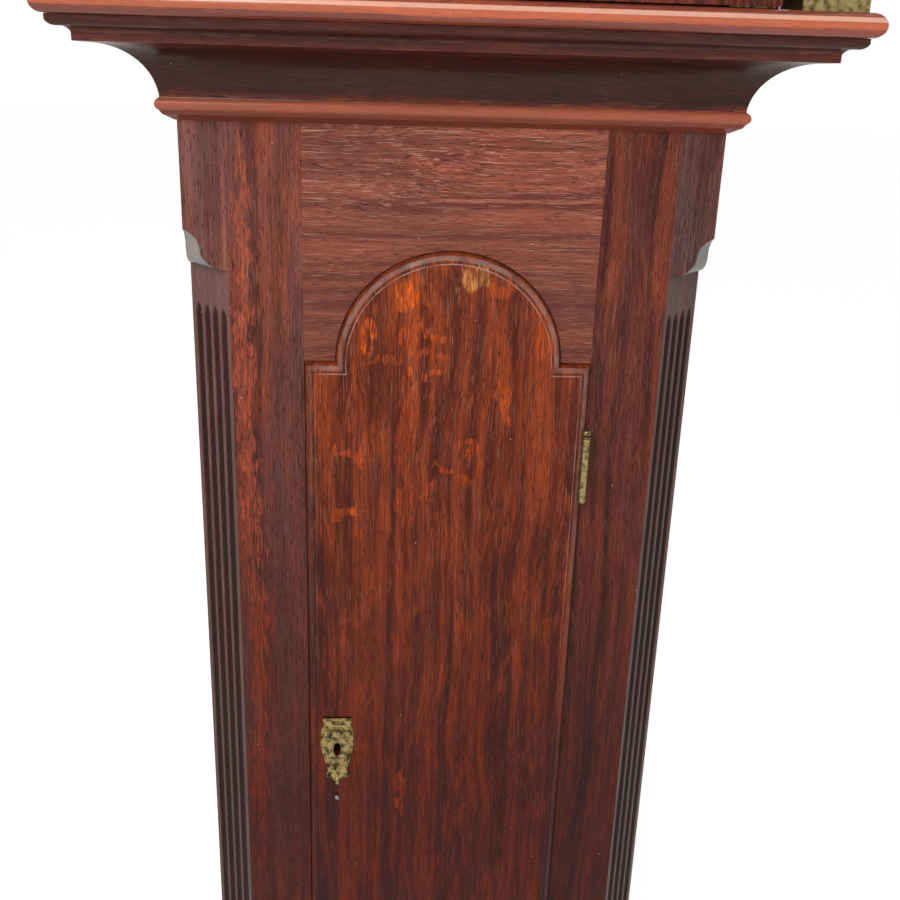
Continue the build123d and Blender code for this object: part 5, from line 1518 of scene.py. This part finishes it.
@dataclass
class Stage:
    """The floor, the light and the camera."""

    eye: Vector = field(default_factory=lambda: Vector((-58.5, -823.4, 1509.3)))
    yaw: float = 4.54
    pitch: float = 21.76
    roll: float = 1.98
    focal_pixels: float = 1189.9
    frame_pixels: float = 900.0
    sensor: float = 36.0
    floor_glow: float = 0.54
    daylight: float = 0.42
    lamps: tuple[Lamp, ...] = (
        Lamp("window_light", (-0.9, -2.1, 3.0), (0.0, 0.0, 1.45), 1.3, 52.0, True),
        Lamp("front_light", (-0.9, -2.6, 1.7), (0.0, 0.0, 1.3), 1.2, 17.0, False),
        Lamp("room_light", (2.2, -1.8, 2.4), (0.0, 0.0, 1.2), 1.2, 8.0, False),
    )

    def seen(self, tree: Tree) -> Socket:
        """Tell what the camera, reflections and glass see from what only lights the clock."""
        path = add(tree, "LightPath").node.outputs
        shiny = add(tree, "Math", {0: path["Is Glossy Ray"], 1: path["Is Transmission Ray"]},
                    operation="MAXIMUM")
        return add(tree, "Math", {0: path["Is Camera Ray"], 1: shiny}, operation="MAXIMUM")

    def floor(self) -> None:
        """Lay a wide white floor that keeps the clock's shadow."""
        shape = bmesh.new()
        bmesh.ops.create_circle(shape, cap_ends=True, radius=14.0, segments=96)
        mesh = bpy.data.meshes.new("studio_floor")
        shape.to_mesh(mesh)
        shape.free()
        material = bpy.data.materials.new("white_studio_paper")
        material.use_nodes = True
        tree = material.node_tree
        tree.nodes.clear()
        glow = add(tree, "Math", {0: self.seen(tree), 1: self.floor_glow}, operation="MULTIPLY")
        shader = add(tree, "BsdfPrincipled", {
            "Base Color": linear("#fafafa"), "Roughness": 0.9, "Emission Color": linear("#ffffff"),
            "Emission Strength": glow,
        })
        add(tree, "OutputMaterial", {"Surface": shader})
        mesh.materials.append(material)
        ground = bpy.data.objects.new("studio_floor", mesh)
        bpy.context.collection.objects.link(ground)

    def world(self) -> None:
        """Surround the clock with even light, white where the camera and reflections see it."""
        world = bpy.data.worlds.new("studio")
        world.use_nodes = True
        tree = world.node_tree
        tree.nodes.clear()
        soft = add(tree, "Background", {"Color": linear("#ffffff"), "Strength": self.daylight})
        white = add(tree, "Background", {"Color": linear("#ffffff"), "Strength": 1.0})
        both = add(tree, "MixShader", {0: self.seen(tree), 1: soft, 2: white})
        add(tree, "OutputWorld", {"Surface": both})
        bpy.context.scene.world = world

    def camera(self) -> None:
        """Stand the camera where the photographer stood."""
        yaw, pitch, roll = (math.radians(angle) for angle in (self.yaw, self.pitch, self.roll))
        level = math.cos(pitch)
        forward = Vector((math.sin(yaw) * level, math.cos(yaw) * level, -math.sin(pitch)))
        right = Vector((math.cos(yaw), -math.sin(yaw), 0))
        above = right.cross(forward)
        across = right * math.cos(roll) + above * math.sin(roll)
        upward = above * math.cos(roll) - right * math.sin(roll)
        turn = Matrix((across, upward, -forward)).transposed()
        data = bpy.data.cameras.new("photo_view")
        data.sensor_width = self.sensor
        data.sensor_fit = "HORIZONTAL"
        data.lens = self.sensor * self.focal_pixels / self.frame_pixels
        data.clip_start = 0.05
        data.clip_end = 60.0
        camera = bpy.data.objects.new("photo_view", data)
        camera.matrix_world = Matrix.Translation(self.eye * MM) @ turn.to_4x4()
        bpy.context.collection.objects.link(camera)
        bpy.context.scene.camera = camera

    def build(self) -> None:
        """Set up everything round the clock."""
        self.floor()
        self.world()
        for lamp in self.lamps:
            lamp.hang()
        self.camera()
        bpy.context.scene.view_settings.view_transform = "Standard"


def dress_nodes() -> None:
    """Give every CAD node the finish of the real piece."""
    finishes: dict[str, Finish] = {node: finish for finish, nodes in METAL_NODES.items() for node in nodes}
    slots = {part["node"]: part["material_slot"] for part in frame["record"]["subparts"]}
    for number, (node, values) in enumerate(OAK_BOARDS.items()):
        finishes[node] = StainedOak(f"varnished_oak_{node}", slots[node], shift=7.3 * number, **values)
    for node, finish in finishes.items():
        material = Shop.material(finish)
        target = bpy.data.objects[node]
        for slot in target.material_slots:
            slot.material = material
        log.info("%s: %s", node, material.name)


def main() -> None:
    """Build the scene in order."""
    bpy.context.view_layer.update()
    Stage().build()
    dress_nodes()
    assemblies = (DialFigures, DialOrnament, KeyholePlate, CaseFittings, GutLines, MovementDetails)
    for assembly in assemblies:
        assembly().build()


if __name__ == "__main__":
    main()
